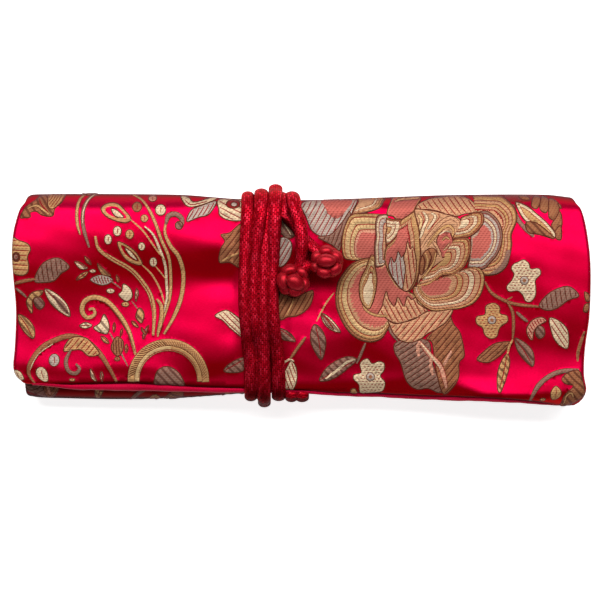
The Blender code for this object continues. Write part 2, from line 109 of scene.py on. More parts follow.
def base(x, v):
    """Point on the cover's outer face. v is y on the front, and arc length round the folds."""
    x, v = np.broadcast_arrays(np.asarray(x, float), np.asarray(v, float))
    back, inner, front, r1, r2, r3, yc2, zc2, yt, zm = radii(x)
    a = np.clip((v - yc2) / (yt - yc2), 0, 1)
    zlow = zc2 + r1
    y, z = v.copy(), zlow + (front - zlow) * smooth(a / 0.4) + CROWN * np.sin(math.pi * a) ** 2
    t = (yc2 - v) / r1                                  # flap's bottom curl
    m = v < yc2
    y, z = np.where(m, yc2 - r1 * np.sin(t), y), np.where(m, zc2 + r1 * np.cos(t), z)
    t = (v - yt) / r3                                   # top fold
    m = v > yt
    y, z = np.where(m, yt + r3 * np.sin(t), y), np.where(m, zm + r3 * np.cos(t), z)
    w = v - yt - math.pi * r3                           # back
    m = w > 0
    y, z = np.where(m, yt - w, y), np.where(m, back, z)
    u = w - (yt - yc2)                                  # bottom fold
    m = u > 0
    y, z = np.where(m, yc2 - r2 * np.sin(u / r2), y), np.where(m, zc2 - r2 * np.cos(u / r2), z)
    i = u - math.pi * r2                                # inner third
    m = i > 0
    return np.where(m, yc2 + i, y), np.where(m, inner, z)


def v_of_y(x, y):
    """v of the front point seen at y from above."""
    _, _, _, r1, _, r3, yc2, _, yt, _ = radii(x)
    low = yc2 - r1 * np.arcsin(np.clip((yc2 - y) / r1, 0, 0.97))
    high = yt + r3 * np.arcsin(np.clip((y - yt) / r3, 0, 0.97))
    return np.where(y < yc2, low, np.where(y > yt, high, y))


X_L, X_R = -117.0, 117.0
V_END = 178.0


def v_marks(x):
    """v at the top fold's far side, and where the back meets the bottom fold."""
    _, _, _, _, r2, r3, yc2, _, yt, _ = radii(x)
    return yt + math.pi * r3, yt + math.pi * r3 + yt - yc2, yt + math.pi * r3 + yt - yc2 + math.pi * r2


V_EDGE_X = np.linspace(-118, 118, 119)
V_EDGE_V = v_of_y(V_EDGE_X, flap_edge(V_EDGE_X))
hem_back = table([(-112, 0.0), (-104, 0.5), (-96, 1.3), (-86, 2.2), (-70, 2.9), (-54, 2.5), (-38, 1.9), (-26, 1.7), (-6, 1.2), (10, 1.6), (30, 2.5), (60, 2.9), (94, 2.7), (103, 1.4), (110, 0.1)])


def v_edge(x):
    return np.interp(x, V_EDGE_X, V_EDGE_V)


def end_x(v):
    """x of the panel's two ends along v, at a nominal section."""
    m0, m1, m2 = 52.3, 113.8, 139.7                    # marks of the full section
    yfront = base(np.full_like(v, 95.0), v)[0]
    left, right = left_edge(yfront), right_edge(yfront)
    a = np.clip((v - 32.0) / (m0 - 32.0 + 14), 0, 1)   # round the top fold the ends draw in
    fold = 4.2 * np.sin(math.pi * np.clip((v - 30.0) / 42.0, 0, 1)) ** 2
    k = smooth((v - 40.0) / 14.0)
    left = left * (1 - k) + (-115.4) * k + fold * k
    right = right * (1 - k) + 114.8 * k - fold * k
    b = 3.4 * np.sin(math.pi * np.clip((v - 108.0) / 38.0, 0, 1)) ** 2
    j = smooth((v - 100.0) / 20.0)
    return left + (2.4 + b) * j, right - (0.9 + b) * j


def v_hem(x):
    """Where the brocade stops and its rolled satin rim shows."""
    return v_edge(x) + hem_back(x)


CORD_X0, CORD_X1 = -25.5, -6.5


def relief(x, v):
    """Small swells, creases and pulls of the padded cloth, along its normal."""
    y = np.where(v < 45, v, 200.0)
    w = smooth((46 - v) / 8.0)
    dl, dr = np.maximum(CORD_X0 - x, 0), np.maximum(x - CORD_X1, 0)
    d = np.where(x < -16, dl, dr)
    h = 0.0 * x
    # pulls that run out from the cord
    for y0, amp, slope, wid, reach in ((20, 0.36, 0.22, 3.4, 26), (9, -0.34, -0.1, 3.2, 30), (-2, 0.3, 0.1, 3.6, 30),
                                       (-13, -0.3, -0.2, 3.4, 24), (-22, 0.3, -0.34, 3.4, 24), (31, -0.26, 0.3, 3.0, 18)):
        h += amp * np.exp(-((y - y0 - slope * d) / (wid + 0.08 * d)) ** 2) * np.exp(-(d / reach) ** 2) * smooth(d / 3.0)
    h += 0.16 * np.sin(x * 0.11 + 1.3 * np.sin(y * 0.09)) * np.sin(y * 0.16 + x * 0.035 + 0.7)
    h += 0.07 * np.sin(x * 0.31 + y * 0.23 + 1.1) * np.sin(y * 0.42 - x * 0.13)
    h = h * w + 0.5 * np.exp(-((v - 49) / 9.0) ** 2)      # the top fold is a little fuller
    back = smooth((v - 56) / 10) * smooth((112 - v) / 10)
    h -= back * 0.3 * np.sin(x * 0.13 + 0.8) ** 2 * np.sin(v * 0.17 + x * 0.05) ** 2
    return h


# How far the front leans to the top edge (+) or to the bottom edge (-), down the cloth, at a few places along the pouch.
# Set to follow the light and dark bands that the photo shows; the real heights can't be read from it.
LEAN = [
    (-109, [(26, .14), (21, .03), (10, -.17), (-1, -.14), (-10, 0.0), (-18, .08), (-27, .09)]),
    (-95, [(30, .14), (24, .02), (13, -.14), (3, -.17), (-4, -.08), (-10, 0.0), (-22, .1), (-29, .1)]),
    (-79, [(29, .14), (25, -.02), (19, -.18), (13, -.27), (6, -.16), (-3, 0.0), (-10, .09), (-27, .13)]),
    (-61, [(30, .11), (26, 0.0), (19, -.2), (15, -.29), (10, -.17), (0, 0.0), (-4, .08), (-16, .13), (-23, .07), (-28, .05)]),
    (-39, [(35, .08), (28, .14), (22, 0.0), (19, -.18), (14, -.3), (10, -.17), (6, .02), (3, .12), (-12, .12), (-19, -.03), (-23, -.16), (-32, -.24)]),
    (7, [(36, 0.0), (31, .07), (26, .02), (19, -.1), (13, -.17), (6, -.14), (1, 0.0), (-8, .13), (-14, .06), (-17, -.05)]),
    (23, [(33, .08), (24, .02), (19, -.1), (12, -.18), (5, -.13), (-3, 0.0), (-11, .06), (-16, -.05)]),
    (44, [(33, .1), (24, .02), (19, -.1), (12, -.18), (5, -.1), (-3, 0.0), (-11, .05), (-20, -.05), (-27, -.05)]),
    (73, [(29, .1), (20, 0.0), (13, -.15), (0, -.08), (-10, -.03), (-20, .05), (-26, .05), (-33, .13), (-39, .15)]),
    (89, [(26, .14), (20, .08), (13, -.11), (4, -.08), (-17, -.14), (-22, 0.0), (-26, .09), (-33, .14), (-39.5, .14)]),
    (106, [(29, .16), (20, .09), (10, .04), (0, 0.0), (-7, -.09), (-18, -.12), (-23, 0.0), (-27, .1), (-34, .06), (-38, .0)])]


def build_swell():
    """Height of the front over its plain section, in mm, on a grid of x and y."""
    gx, gy = np.linspace(-118, 118, 119), np.arange(44.0, -44.1, -0.5)
    st = np.array([s[0] for s in LEAN], float)
    lean = np.array([np.interp(-gy, [-q[0] for q in s[1]], [q[1] for q in s[1]]) for s in LEAN])
    last = np.interp(gx, st, [s[1][-1][0] for s in LEAN])
    k = np.clip(np.searchsorted(st, gx) - 1, 0, len(st) - 2)
    t = smooth((gx - st[k]) / (st[k + 1] - st[k]))[:, None]
    lean = lean[k] * (1 - t) + lean[k + 1] * t
    X, Y = np.meshgrid(gx, gy, indexing="ij")
    zb = base(X, v_of_y(X, Y))[1]
    own = -np.gradient(zb, axis=1) / -0.5              # the plain section's own slope
    slope = np.where(Y > last[:, None], lean / np.sqrt(1 - lean ** 2), own)
    top = smooth((Y - 34.6) / 4.6)
    slope = slope * (1 - top) + own * top
    d = np.cumsum((slope - own) * 0.5, axis=1)
    for _ in range(2):
        d[1:-1] = (d[:-2] + 2 * d[1:-1] + d[2:]) / 4
        d[:, 1:-1] = (d[:, :-2] + 2 * d[:, 1:-1] + d[:, 2:]) / 4
    cord = (smooth((gx + 28) / 3.5) * smooth((-4 - gx) / 3.5))[:, None]
    d = np.where(d > 0, d * (1 - 0.8 * cord), d * (1 - 0.45 * cord))
    print("swell", round(float(d.min()), 2), round(float(d.max()), 2), "by station", [(round(float(d[np.argmin(abs(gx - s))].min()), 1), round(float(d[np.argmin(abs(gx - s))].max()), 1)) for s in st])
    return gx, gy, d


SWELL = build_swell()


def swell(x, y):
    gx, gy, d = SWELL
    i = np.clip((x + 118) / 2.0, 0, len(gx) - 1.001)
    j = np.clip((44.0 - y) / 0.5, 0, len(gy) - 1.001)
    a, b = i.astype(int), j.astype(int)
    s, t = i - a, j - b
    return (d[a, b] * (1 - s) + d[a + 1, b] * s) * (1 - t) + (d[a, b + 1] * (1 - s) + d[a + 1, b + 1] * s) * t


ROLL = 1.45


def shifted(x, v):
    """Fabric x to real x: the ends' outline is taken up over the last 26 mm."""
    left, right = end_x(v)
    return x + (left - X_L) * smooth((X_L + 26 - x) / 26) + (right - X_R) * smooth((x - X_R + 26) / 26)


def position(x, v, extra=0.0, hem=True):
    """World millimetres of fabric points, with their outward normals."""
    x, v, extra = (np.asarray(a, float) for a in (x, v, extra))
    depth = 0.0
    xc, vc = x, v
    if hem:
        ar = np.clip((X_L + ROLL - x) / ROLL, 0, 2.7)
        xc = np.where(x < X_L + ROLL, X_L + ROLL - ROLL * np.sin(ar), x)
        depth = depth + ROLL * (1 - np.cos(ar))
        ar = np.clip((x - X_R + ROLL) / ROLL, 0, 2.7)
        xc = np.where(x > X_R - ROLL, X_R - ROLL + ROLL * np.sin(ar), xc)
        depth = depth + ROLL * (1 - np.cos(ar))
        e = v_hem(np.clip(xc, -117, 117))
        ar = np.clip((e + ROLL - v) / ROLL, 0, 2.7)
        vc = np.where(v < e + ROLL, e + ROLL - ROLL * np.sin(ar), v)
        depth = np.minimum(depth + ROLL * (1 - np.cos(ar)), 2.1 * ROLL)

    def at(px, pv):
        real = shifted(px, pv)
        y, z = base(real, pv)
        return np.stack([real, y, z], -1)

    p = at(xc, vc)
    e = 0.25
    du = at(xc + e, vc) - at(xc - e, vc)
    dv = at(xc, vc + e) - at(xc, vc - e)
    n = np.cross(du, dv)
    n /= np.linalg.norm(n, axis=-1, keepdims=True)
    h = relief(p[..., 0], vc) + extra - depth
    lift = np.where(vc < 46, swell(p[..., 0], p[..., 1]), 0.0)
    p = p + n * np.asarray(h)[..., None]
    p[..., 2] += lift
    p[..., 1] += 0.09
    return p, n


# ---- meshes and materials ----------------------------------------------------
def make(name, verts, faces, mat=None, smooth_shade=True):
    mesh = bpy.data.meshes.new(name)
    mesh.from_pydata([tuple(v) for v in np.asarray(verts) * MM], [], [tuple(int(i) for i in f) for f in faces])
    mesh.update()
    if smooth_shade:
        mesh.shade_smooth()
    if mat:
        mesh.materials.append(mat)
    obj = bpy.data.objects.new(name, mesh)
    bpy.context.scene.collection.objects.link(obj)
    return obj


def grid_faces(n, m, close=False, base_index=0):
    out = []
    for i in range(n - 1):
        for j in range(m if close else m - 1):
            k = (j + 1) % m
            out.append((base_index + i * m + j, base_index + (i + 1) * m + j, base_index + (i + 1) * m + k, base_index + i * m + k))
    return out


def set_uv(obj, uv, name="fabric"):
    layer = obj.data.uv_layers.new(name=name)
    idx = np.empty(len(obj.data.loops), dtype=np.int32)
    obj.data.loops.foreach_get("vertex_index", idx)
    layer.data.foreach_set("uv", np.asarray(uv, np.float32)[idx].ravel())


class Mat:
    """A node material, built by short calls."""

    def __init__(self, name):
        self.m = bpy.data.materials.new(name)
        self.m.use_nodes = True
        self.t = self.m.node_tree
        self.b = self.t.nodes["Principled BSDF"]

    def n(self, kind, ins=None, **props):
        node = self.t.nodes.new("ShaderNode" + kind)
        for k, v in props.items():
            setattr(node, k, v)
        for k, v in (ins or {}).items():
            self.put(node.inputs[k], v)
        return node

    def put(self, socket, v):
        if isinstance(v, bpy.types.NodeSocket):
            self.t.links.new(v, socket)
        elif isinstance(v, tuple) and len(v) == 3 and len(socket.default_value) == 4:
            socket.default_value = (*v, 1.0)
        else:
            socket.default_value = v

    def math(self, op, a, b=0.0, c=0.0):
        node = self.n("Math", {0: a, 1: b, 2: c}, operation=op)
        return node.outputs[0]

    def mix(self, f, a, b):
        node = self.n("Mix", None, data_type="RGBA")
        self.put(node.inputs["Factor"], f)
        for name, v in (("A", a), ("B", b)):
            s = [q for q in node.inputs if q.name == name and q.type == "RGBA"][0]
            self.put(s, v)
        return [q for q in node.outputs if q.type == "RGBA"][0]

    def ramp(self, f, stops):
        node = self.n("ValToRGB", {"Fac": f})
        r = node.color_ramp
        while len(r.elements) < len(stops):
            r.elements.new(0.5)
        for e, (p, c) in zip(r.elements, stops):
            e.position = p
            e.color = (*c, 1.0) if len(c) == 3 else c
        return node.outputs["Color"]

    def uv(self, name="fabric", scale=(1, 1, 1), rot=0.0):
        u = self.n("UVMap", uv_map=name)
        return self.n("Mapping", {"Vector": u.outputs["UV"], "Scale": scale, "Rotation": (0, 0, rot)}).outputs[0]

    def noise(self, vec, scale, detail=2.0, rough=0.5):
        return self.n("TexNoise", {"Vector": vec, "Scale": scale, "Detail": detail, "Roughness": rough}).outputs["Fac"]

    def wave(self, vec, scale, distortion=0.0, direction="X", profile="SIN", dscale=1.0):
        node = self.n("TexWave", {"Vector": vec, "Scale": scale, "Distortion": distortion, "Detail": 1.0, "Detail Scale": dscale},
                      wave_type="BANDS", bands_direction=direction, wave_profile=profile)
        return node.outputs["Fac"]

    def bump(self, height, dist, strength=1.0, after=None):
        ins = {"Height": height, "Distance": dist, "Strength": strength}
        if after is not None:
            ins["Normal"] = after
        return self.n("Bump", ins).outputs["Normal"]

    def done(self, **sockets):
        for k, v in sockets.items():
            self.put(self.b.inputs[k.replace("_", " ")], v)
        return self.m


def rgb(r, g, b):
    """Linear colour of a display colour given as 0-255."""
    f = lambda c: (c / 255 / 12.92) if c / 255 <= 0.04045 else ((c / 255 + 0.055) / 1.055) ** 2.4
    return (f(r), f(g), f(b))


RED_HI, RED, RED_LOW = rgb(214, 0, 60), rgb(190, 0, 42), rgb(140, 0, 22)
INK = {"ground": rgb(196, 0, 46), "cream": rgb(238, 212, 174), "gold": rgb(210, 162, 108), "brown": rgb(164, 108, 74),
       "taupe": rgb(152, 116, 100), "salmon": rgb(206, 108, 96), "dark": rgb(88, 44, 32), "grey": rgb(194, 178, 164),
       "line": rgb(150, 24, 34), "pink": rgb(226, 162, 134), "peach": rgb(218, 164, 124), "yellow": rgb(228, 192, 138), "tick": rgb(150, 98, 70)}


# ---- woven figure: closed shapes in fabric coordinates, later ones on top ------
SHAPES = []          # (points n x 2, ink, kind)
KIND = {"ground": 0, "twill": 1, "band": 2, "ridge": 2, "hatch": 3}


def catmull(points, closed=True, step=2.5):
    p = np.array(points, float)
    n = len(p)
    out = []
    for k in range(n if closed else n - 1):
        p0, p1, p2, p3 = (p[(k + d) % n] if closed else p[min(max(k + d, 0), n - 1)] for d in (-1, 0, 1, 2))
        m = max(2, int(np.linalg.norm(p2 - p1) / step) + 1)
        t = (np.arange(m) / m)[:, None]
        out.append(0.5 * (2 * p1 + (p2 - p0) * t + (2 * p0 - 5 * p1 + 4 * p2 - p3) * t ** 2 + (3 * p1 - p0 - 3 * p2 + p3) * t ** 3))
    if not closed:
        out.append(p[-1:])
    return np.concatenate(out)


def add(px_points, ink, kind="twill"):
    """A shape given in the view's pixels."""
    p = np.asarray(px_points, float)
    x = X_OF(p[:, 0])
    SHAPES.append((np.stack([x, v_of_y(x, Y_OF(p[:, 1]))], -1), ink, kind))


def grown(p, d):
    """The outline moved outward by d pixels (inward if negative)."""
    p = np.asarray(p, float)
    t = np.roll(p, -1, 0) - np.roll(p, 1, 0)
    t /= np.maximum(np.linalg.norm(t, axis=1, keepdims=True), 1e-6)
    n = np.stack([t[:, 1], -t[:, 0]], -1)
    area = 0.5 * np.sum(p[:, 0] * np.roll(p[:, 1], -1) - p[:, 1] * np.roll(p[:, 0], -1))
    c = p.mean(0)
    q = p + n * d * (1 if area > 0 else -1)
    if d < 0:                                         # never past the middle
        keep = np.linalg.norm(p - c, axis=1) > 0
        r0, r1 = np.linalg.norm(p - c, axis=1), np.linalg.norm(q - c, axis=1)
        bad = ((q - c) * (p - c)).sum(1) < 0.12 * r0 ** 2
        q[bad] = c + (p[bad] - c) * 0.12
    return q


def blob(points, ink, kind="twill", outline=None, width=1.1):
    p = catmull(points)
    if outline:
        add(grown(p, width * 0.5), outline, "twill")
        p = grown(p, -width * 0.5)
    add(p, ink, kind)
    return p


def banded(points, bands, core=("salmon", "twill"), outline="dark", width=1.3):
    """A petal: outline, then bands of (ink, width) inward, then its core."""
    p = catmull(points)
    add(grown(p, width * 0.4), outline, "twill")
    d = -width * 0.6
    for ink, w in bands:
        add(grown(p, d), ink, "band" if ink in ("gold", "cream", "peach", "yellow", "pink") else "twill")
        d -= w
    q = grown(p, d)
    add(q, core[0], core[1])
    return q


def stroke(points, ink, width, kind="twill", taper=(0.5, 0.5), step=2.5):
    """A line with width in pixels, thinner at its ends."""
    c = catmull(points, closed=False, step=step)
    t = np.gradient(c, axis=0)
    t /= np.maximum(np.linalg.norm(t, axis=1, keepdims=True), 1e-6)
    n = np.stack([-t[:, 1], t[:, 0]], -1)
    s = np.linspace(0, 1, len(c))
    w = width / 2 * np.minimum(1, np.minimum(taper[0] + (1 - taper[0]) * s * 4, taper[1] + (1 - taper[1]) * (1 - s) * 4))
    w = w[:, None]
    add(np.concatenate([c + n * w, (c - n * w)[::-1]]), ink, kind)


def leaf(base_pt, tip, width, ink, ink2=None, bend=0.0, veins=4, vein="line", outline="dark", kind="hatch", stem=None):
    """A leaf from base to tip, its two halves in one or two inks, with midrib and veins."""
    b, t = np.array(base_pt, float), np.array(tip, float)
    d = t - b
    length = np.hypot(*d)
    u = d / length
    n = np.array([-u[1], u[0]])
    s = np.linspace(0, 1, max(7, int(length / 4)))
    mid = b + d * s[:, None] + n * (bend * length * np.sin(math.pi * s))[:, None]
    half = width / 2 * np.sin(math.pi * s ** 0.8) ** 0.75
    left, right = mid + n * half[:, None], mid - n * half[:, None]
    if outline:
        g = half + 0.7
        add(np.concatenate([mid + n * g[:, None], (mid - n * g[:, None])[::-1]]), outline)
    add(np.concatenate([left, mid[::-1]]), ink, kind)
    add(np.concatenate([mid, right[::-1]]), ink2 or ink, kind)
    if veins:
        for k in range(veins):
            a = 0.18 + 0.62 * k / max(1, veins - 1)
            i = int(a * (len(s) - 1))
            for side in (1, -1):
                p0 = mid[i]
                p1 = mid[min(len(s) - 1, i + 2)] + n * side * half[min(len(s) - 1, i + 1)] * 0.85
                stroke([p0, (p0 + p1) / 2 + u * 0.8, p1], vein, 0.9, taper=(1, 0.4), step=4)
        stroke(mid[:: max(1, len(mid) // 5)], vein, 1.3, taper=(1, 0.3))
    if stem is not None:
        stroke([b, stem], ink2 or ink, 1.8, taper=(1, 1))


def disc(cx, cy, r, ink, kind="twill", n=12):
    ang = np.linspace(0, 2 * math.pi, n, endpoint=False)
    add(np.array([cx, cy]) + np.stack([np.cos(ang), np.sin(ang)], -1) * r, ink, kind)


def mapper(scale, ox, oy):
    return lambda pts: [(ox + x / scale, oy + y / scale) for x, y in pts]


def inside_poly(p, q):
    x, y = q
    a, b = p, np.roll(p, -1, 0)
    cross = (a[:, 1] > y) != (b[:, 1] > y)
    with np.errstate(divide="ignore", invalid="ignore"):
        at_x = a[:, 0] + (y - a[:, 1]) / (b[:, 1] - a[:, 1]) * (b[:, 0] - a[:, 0])
    return bool(np.sum(cross & (x < at_x)) % 2)


def dashes(p, dy=2.9, dash=2.0, gap=1.5, ink="line", slope=0.12, width=0.75, margin=1.1):
    """Rows of short stitches over a shape."""
    q = grown(p, -margin)
    lo, hi = p.min(0), p.max(0)
    for r, y in enumerate(np.arange(lo[1] + 1.6, hi[1], dy)):
        for x in np.arange(lo[0] + (r % 2) * (dash + gap) / 2, hi[0], dash + gap):
            a, b = (x, y + slope * x % 1.0), (x + dash, y + slope * x % 1.0 + slope * dash)
            if inside_poly(q, a) and inside_poly(q, b):
                add([(a[0], a[1] - width / 2), (b[0], b[1] - width / 2), (b[0], b[1] + width / 2), (a[0], a[1] + width / 2)], ink)


def bars(p, angle, pitch=3.4, width=1.0, ink="line", margin=0.6):
    """Parallel stitch lines across a shape, cut to its outline."""
    u = np.array([math.cos(math.radians(angle)), math.sin(math.radians(angle))])
    n = np.array([-u[1], u[0]])
    q = grown(p, -margin)
    c = p.mean(0)
    s = (p - c) @ n
    for k in np.arange(s.min() + pitch / 2, s.max(), pitch):
        a, b = q - c, np.roll(q, -1, 0) - c
        sa, sb = a @ n - k, b @ n - k
        hit = (sa > 0) != (sb > 0)
        if hit.sum() < 2:
            continue
        t = sa[hit] / (sa[hit] - sb[hit])
        along = np.sort((a[hit] + (b[hit] - a[hit]) * t[:, None]) @ u)
        for lo, hi in zip(along[0::2], along[1::2]):
            if hi - lo > 1.5:
                m = c + n * k
                stroke([m + u * lo, m + u * (lo + hi) / 2 + n * 0.25, m + u * hi], ink, width, taper=(0.7, 0.7), step=5)


def fan(points, anchor, rings, core):
    """A petal whose contour bands (ink, share of its length) widen away from its anchor, with a ragged inner edge."""
    p, a = catmull(points), np.array(anchor)
    add(grown(p, 0.75), "dark")
    s = 1.0
    for ink, w in rings:
        q = grown(p, -0.25) - a
        add(a + q * s, ink, "band" if ink not in ("line", "dark") else "twill")
        if ink not in ("line", "dark"):                # a ridge along the middle of the band
            add(a + q * (s - w * 0.5), ink, "ridge")
            for k in range(0, len(q), 2):       # its weft floats lie across the band
                m0, m1 = a + q[k] * s, a + q[k] * (s - w)
                d = m1 - m0
                size = np.hypot(*d)
                if size > 1.35:
                    d, n = d / size, np.array([-d[1], d[0]]) / size
                    m0, m1 = m0 + d * 0.1 * size, m0 + d * size * (0.7 + 0.25 * rng.random())
                    add(np.array([m0 + n * 0.2, m1 + n * 0.16, m1 - n * 0.16, m0 - n * 0.2]), "tick")
        s -= w
    q = catmull(points, step=1.2)
    rag = np.abs(rng.normal(size=len(q)))
    add(a + (q - a) * (s * (1 - 0.045 * np.minimum(rag, 2.2)))[:, None], core, "twill" if core == "salmon" else "band")


def draw(view, items):
    for item in items:
        form, ink = item[0], item[1]
        pts = view(item[-1])
        if form == "b":                                # plain woven shape with an outline
            blob(pts, ink, item[2], outline="dark", width=1.1)
        elif form == "n":                              # the same without outline
            blob(pts, ink, item[2])
        elif form == "h":                              # shape with stitch lines at an angle
            p = blob(pts, ink, "twill", outline="dark", width=1.1)
            size = math.sqrt(abs(np.sum(p[:, 0] * np.roll(p[:, 1], -1) - p[:, 1] * np.roll(p[:, 0], -1))) / 2)
            bars(p, item[2], pitch=min(4.8, max(2.6, size / 4.5)), ink="dark" if ink in ("brown", "taupe") else "line")
        elif form == "p":                              # petal with contour bands
            banded(pts, item[2], core=(ink, "twill"))
        elif form == "w":
            fan(pts, view([item[3]])[0], item[2], ink)
        elif form == "s":
            stroke(pts, ink, item[2])
        elif form == "o":                              # outlined stroke
            stroke(pts, "dark", item[2] + 1.2)
            stroke(pts, ink, item[2])
        elif form == "f":                              # flower head with stitch rows
            p = blob(pts, ink, "twill", outline="dark", width=1.0)
            dashes(p)
            c = p.mean(0)
            disc(c[0], c[1], 4.6, "dark")
            disc(c[0], c[1], 3.9, "grey")
            disc(c[0], c[1], 1.8, "brown")
        elif form == "l":                              # leaf with a midrib from its first point
            p = blob(pts, ink, "hatch", outline="dark", width=1.0)
            tip = p[np.argmax(np.linalg.norm(p - p[0], axis=1))]
            stroke([p[0], (p[0] + tip) / 2 + (0.6, -0.4), tip * 0.93 + p[0] * 0.07], "line", 1.0)
        elif form == "d":                              # small dot or seed
            p = blob(pts, ink, "twill", outline="dark", width=0.9)
            lo, hi = p.min(0), p.max(0)
            stroke([(lo + hi) / 2 + (0, -(hi[1] - lo[1]) * 0.3), (lo + hi) / 2 + (0.3, 0), (lo + hi) / 2 + (0, (hi[1] - lo[1]) * 0.3)], "line", 0.8)


def ring(x, y, rx, ry=None, n=8):
    ry = ry or rx
    return [(x + rx * math.cos(2 * math.pi * k / n + 0.3), y + ry * math.sin(2 * math.pi * k / n + 0.3)) for k in range(n)]


THREE = (("gold", 2.4), ("line", 0.6), ("cream", 2.6), ("line", 0.6), ("cream", 2.0), ("line", 0.6))
TWO = (("gold", 2.2), ("line", 0.6), ("cream", 2.4), ("line", 0.6))
PINKS = (("gold", 2.0), ("line", 0.6), ("pink", 2.4), ("line", 0.6), ("pink", 2.4), ("line", 0.6), ("pink", 2.2), ("line", 0.6))

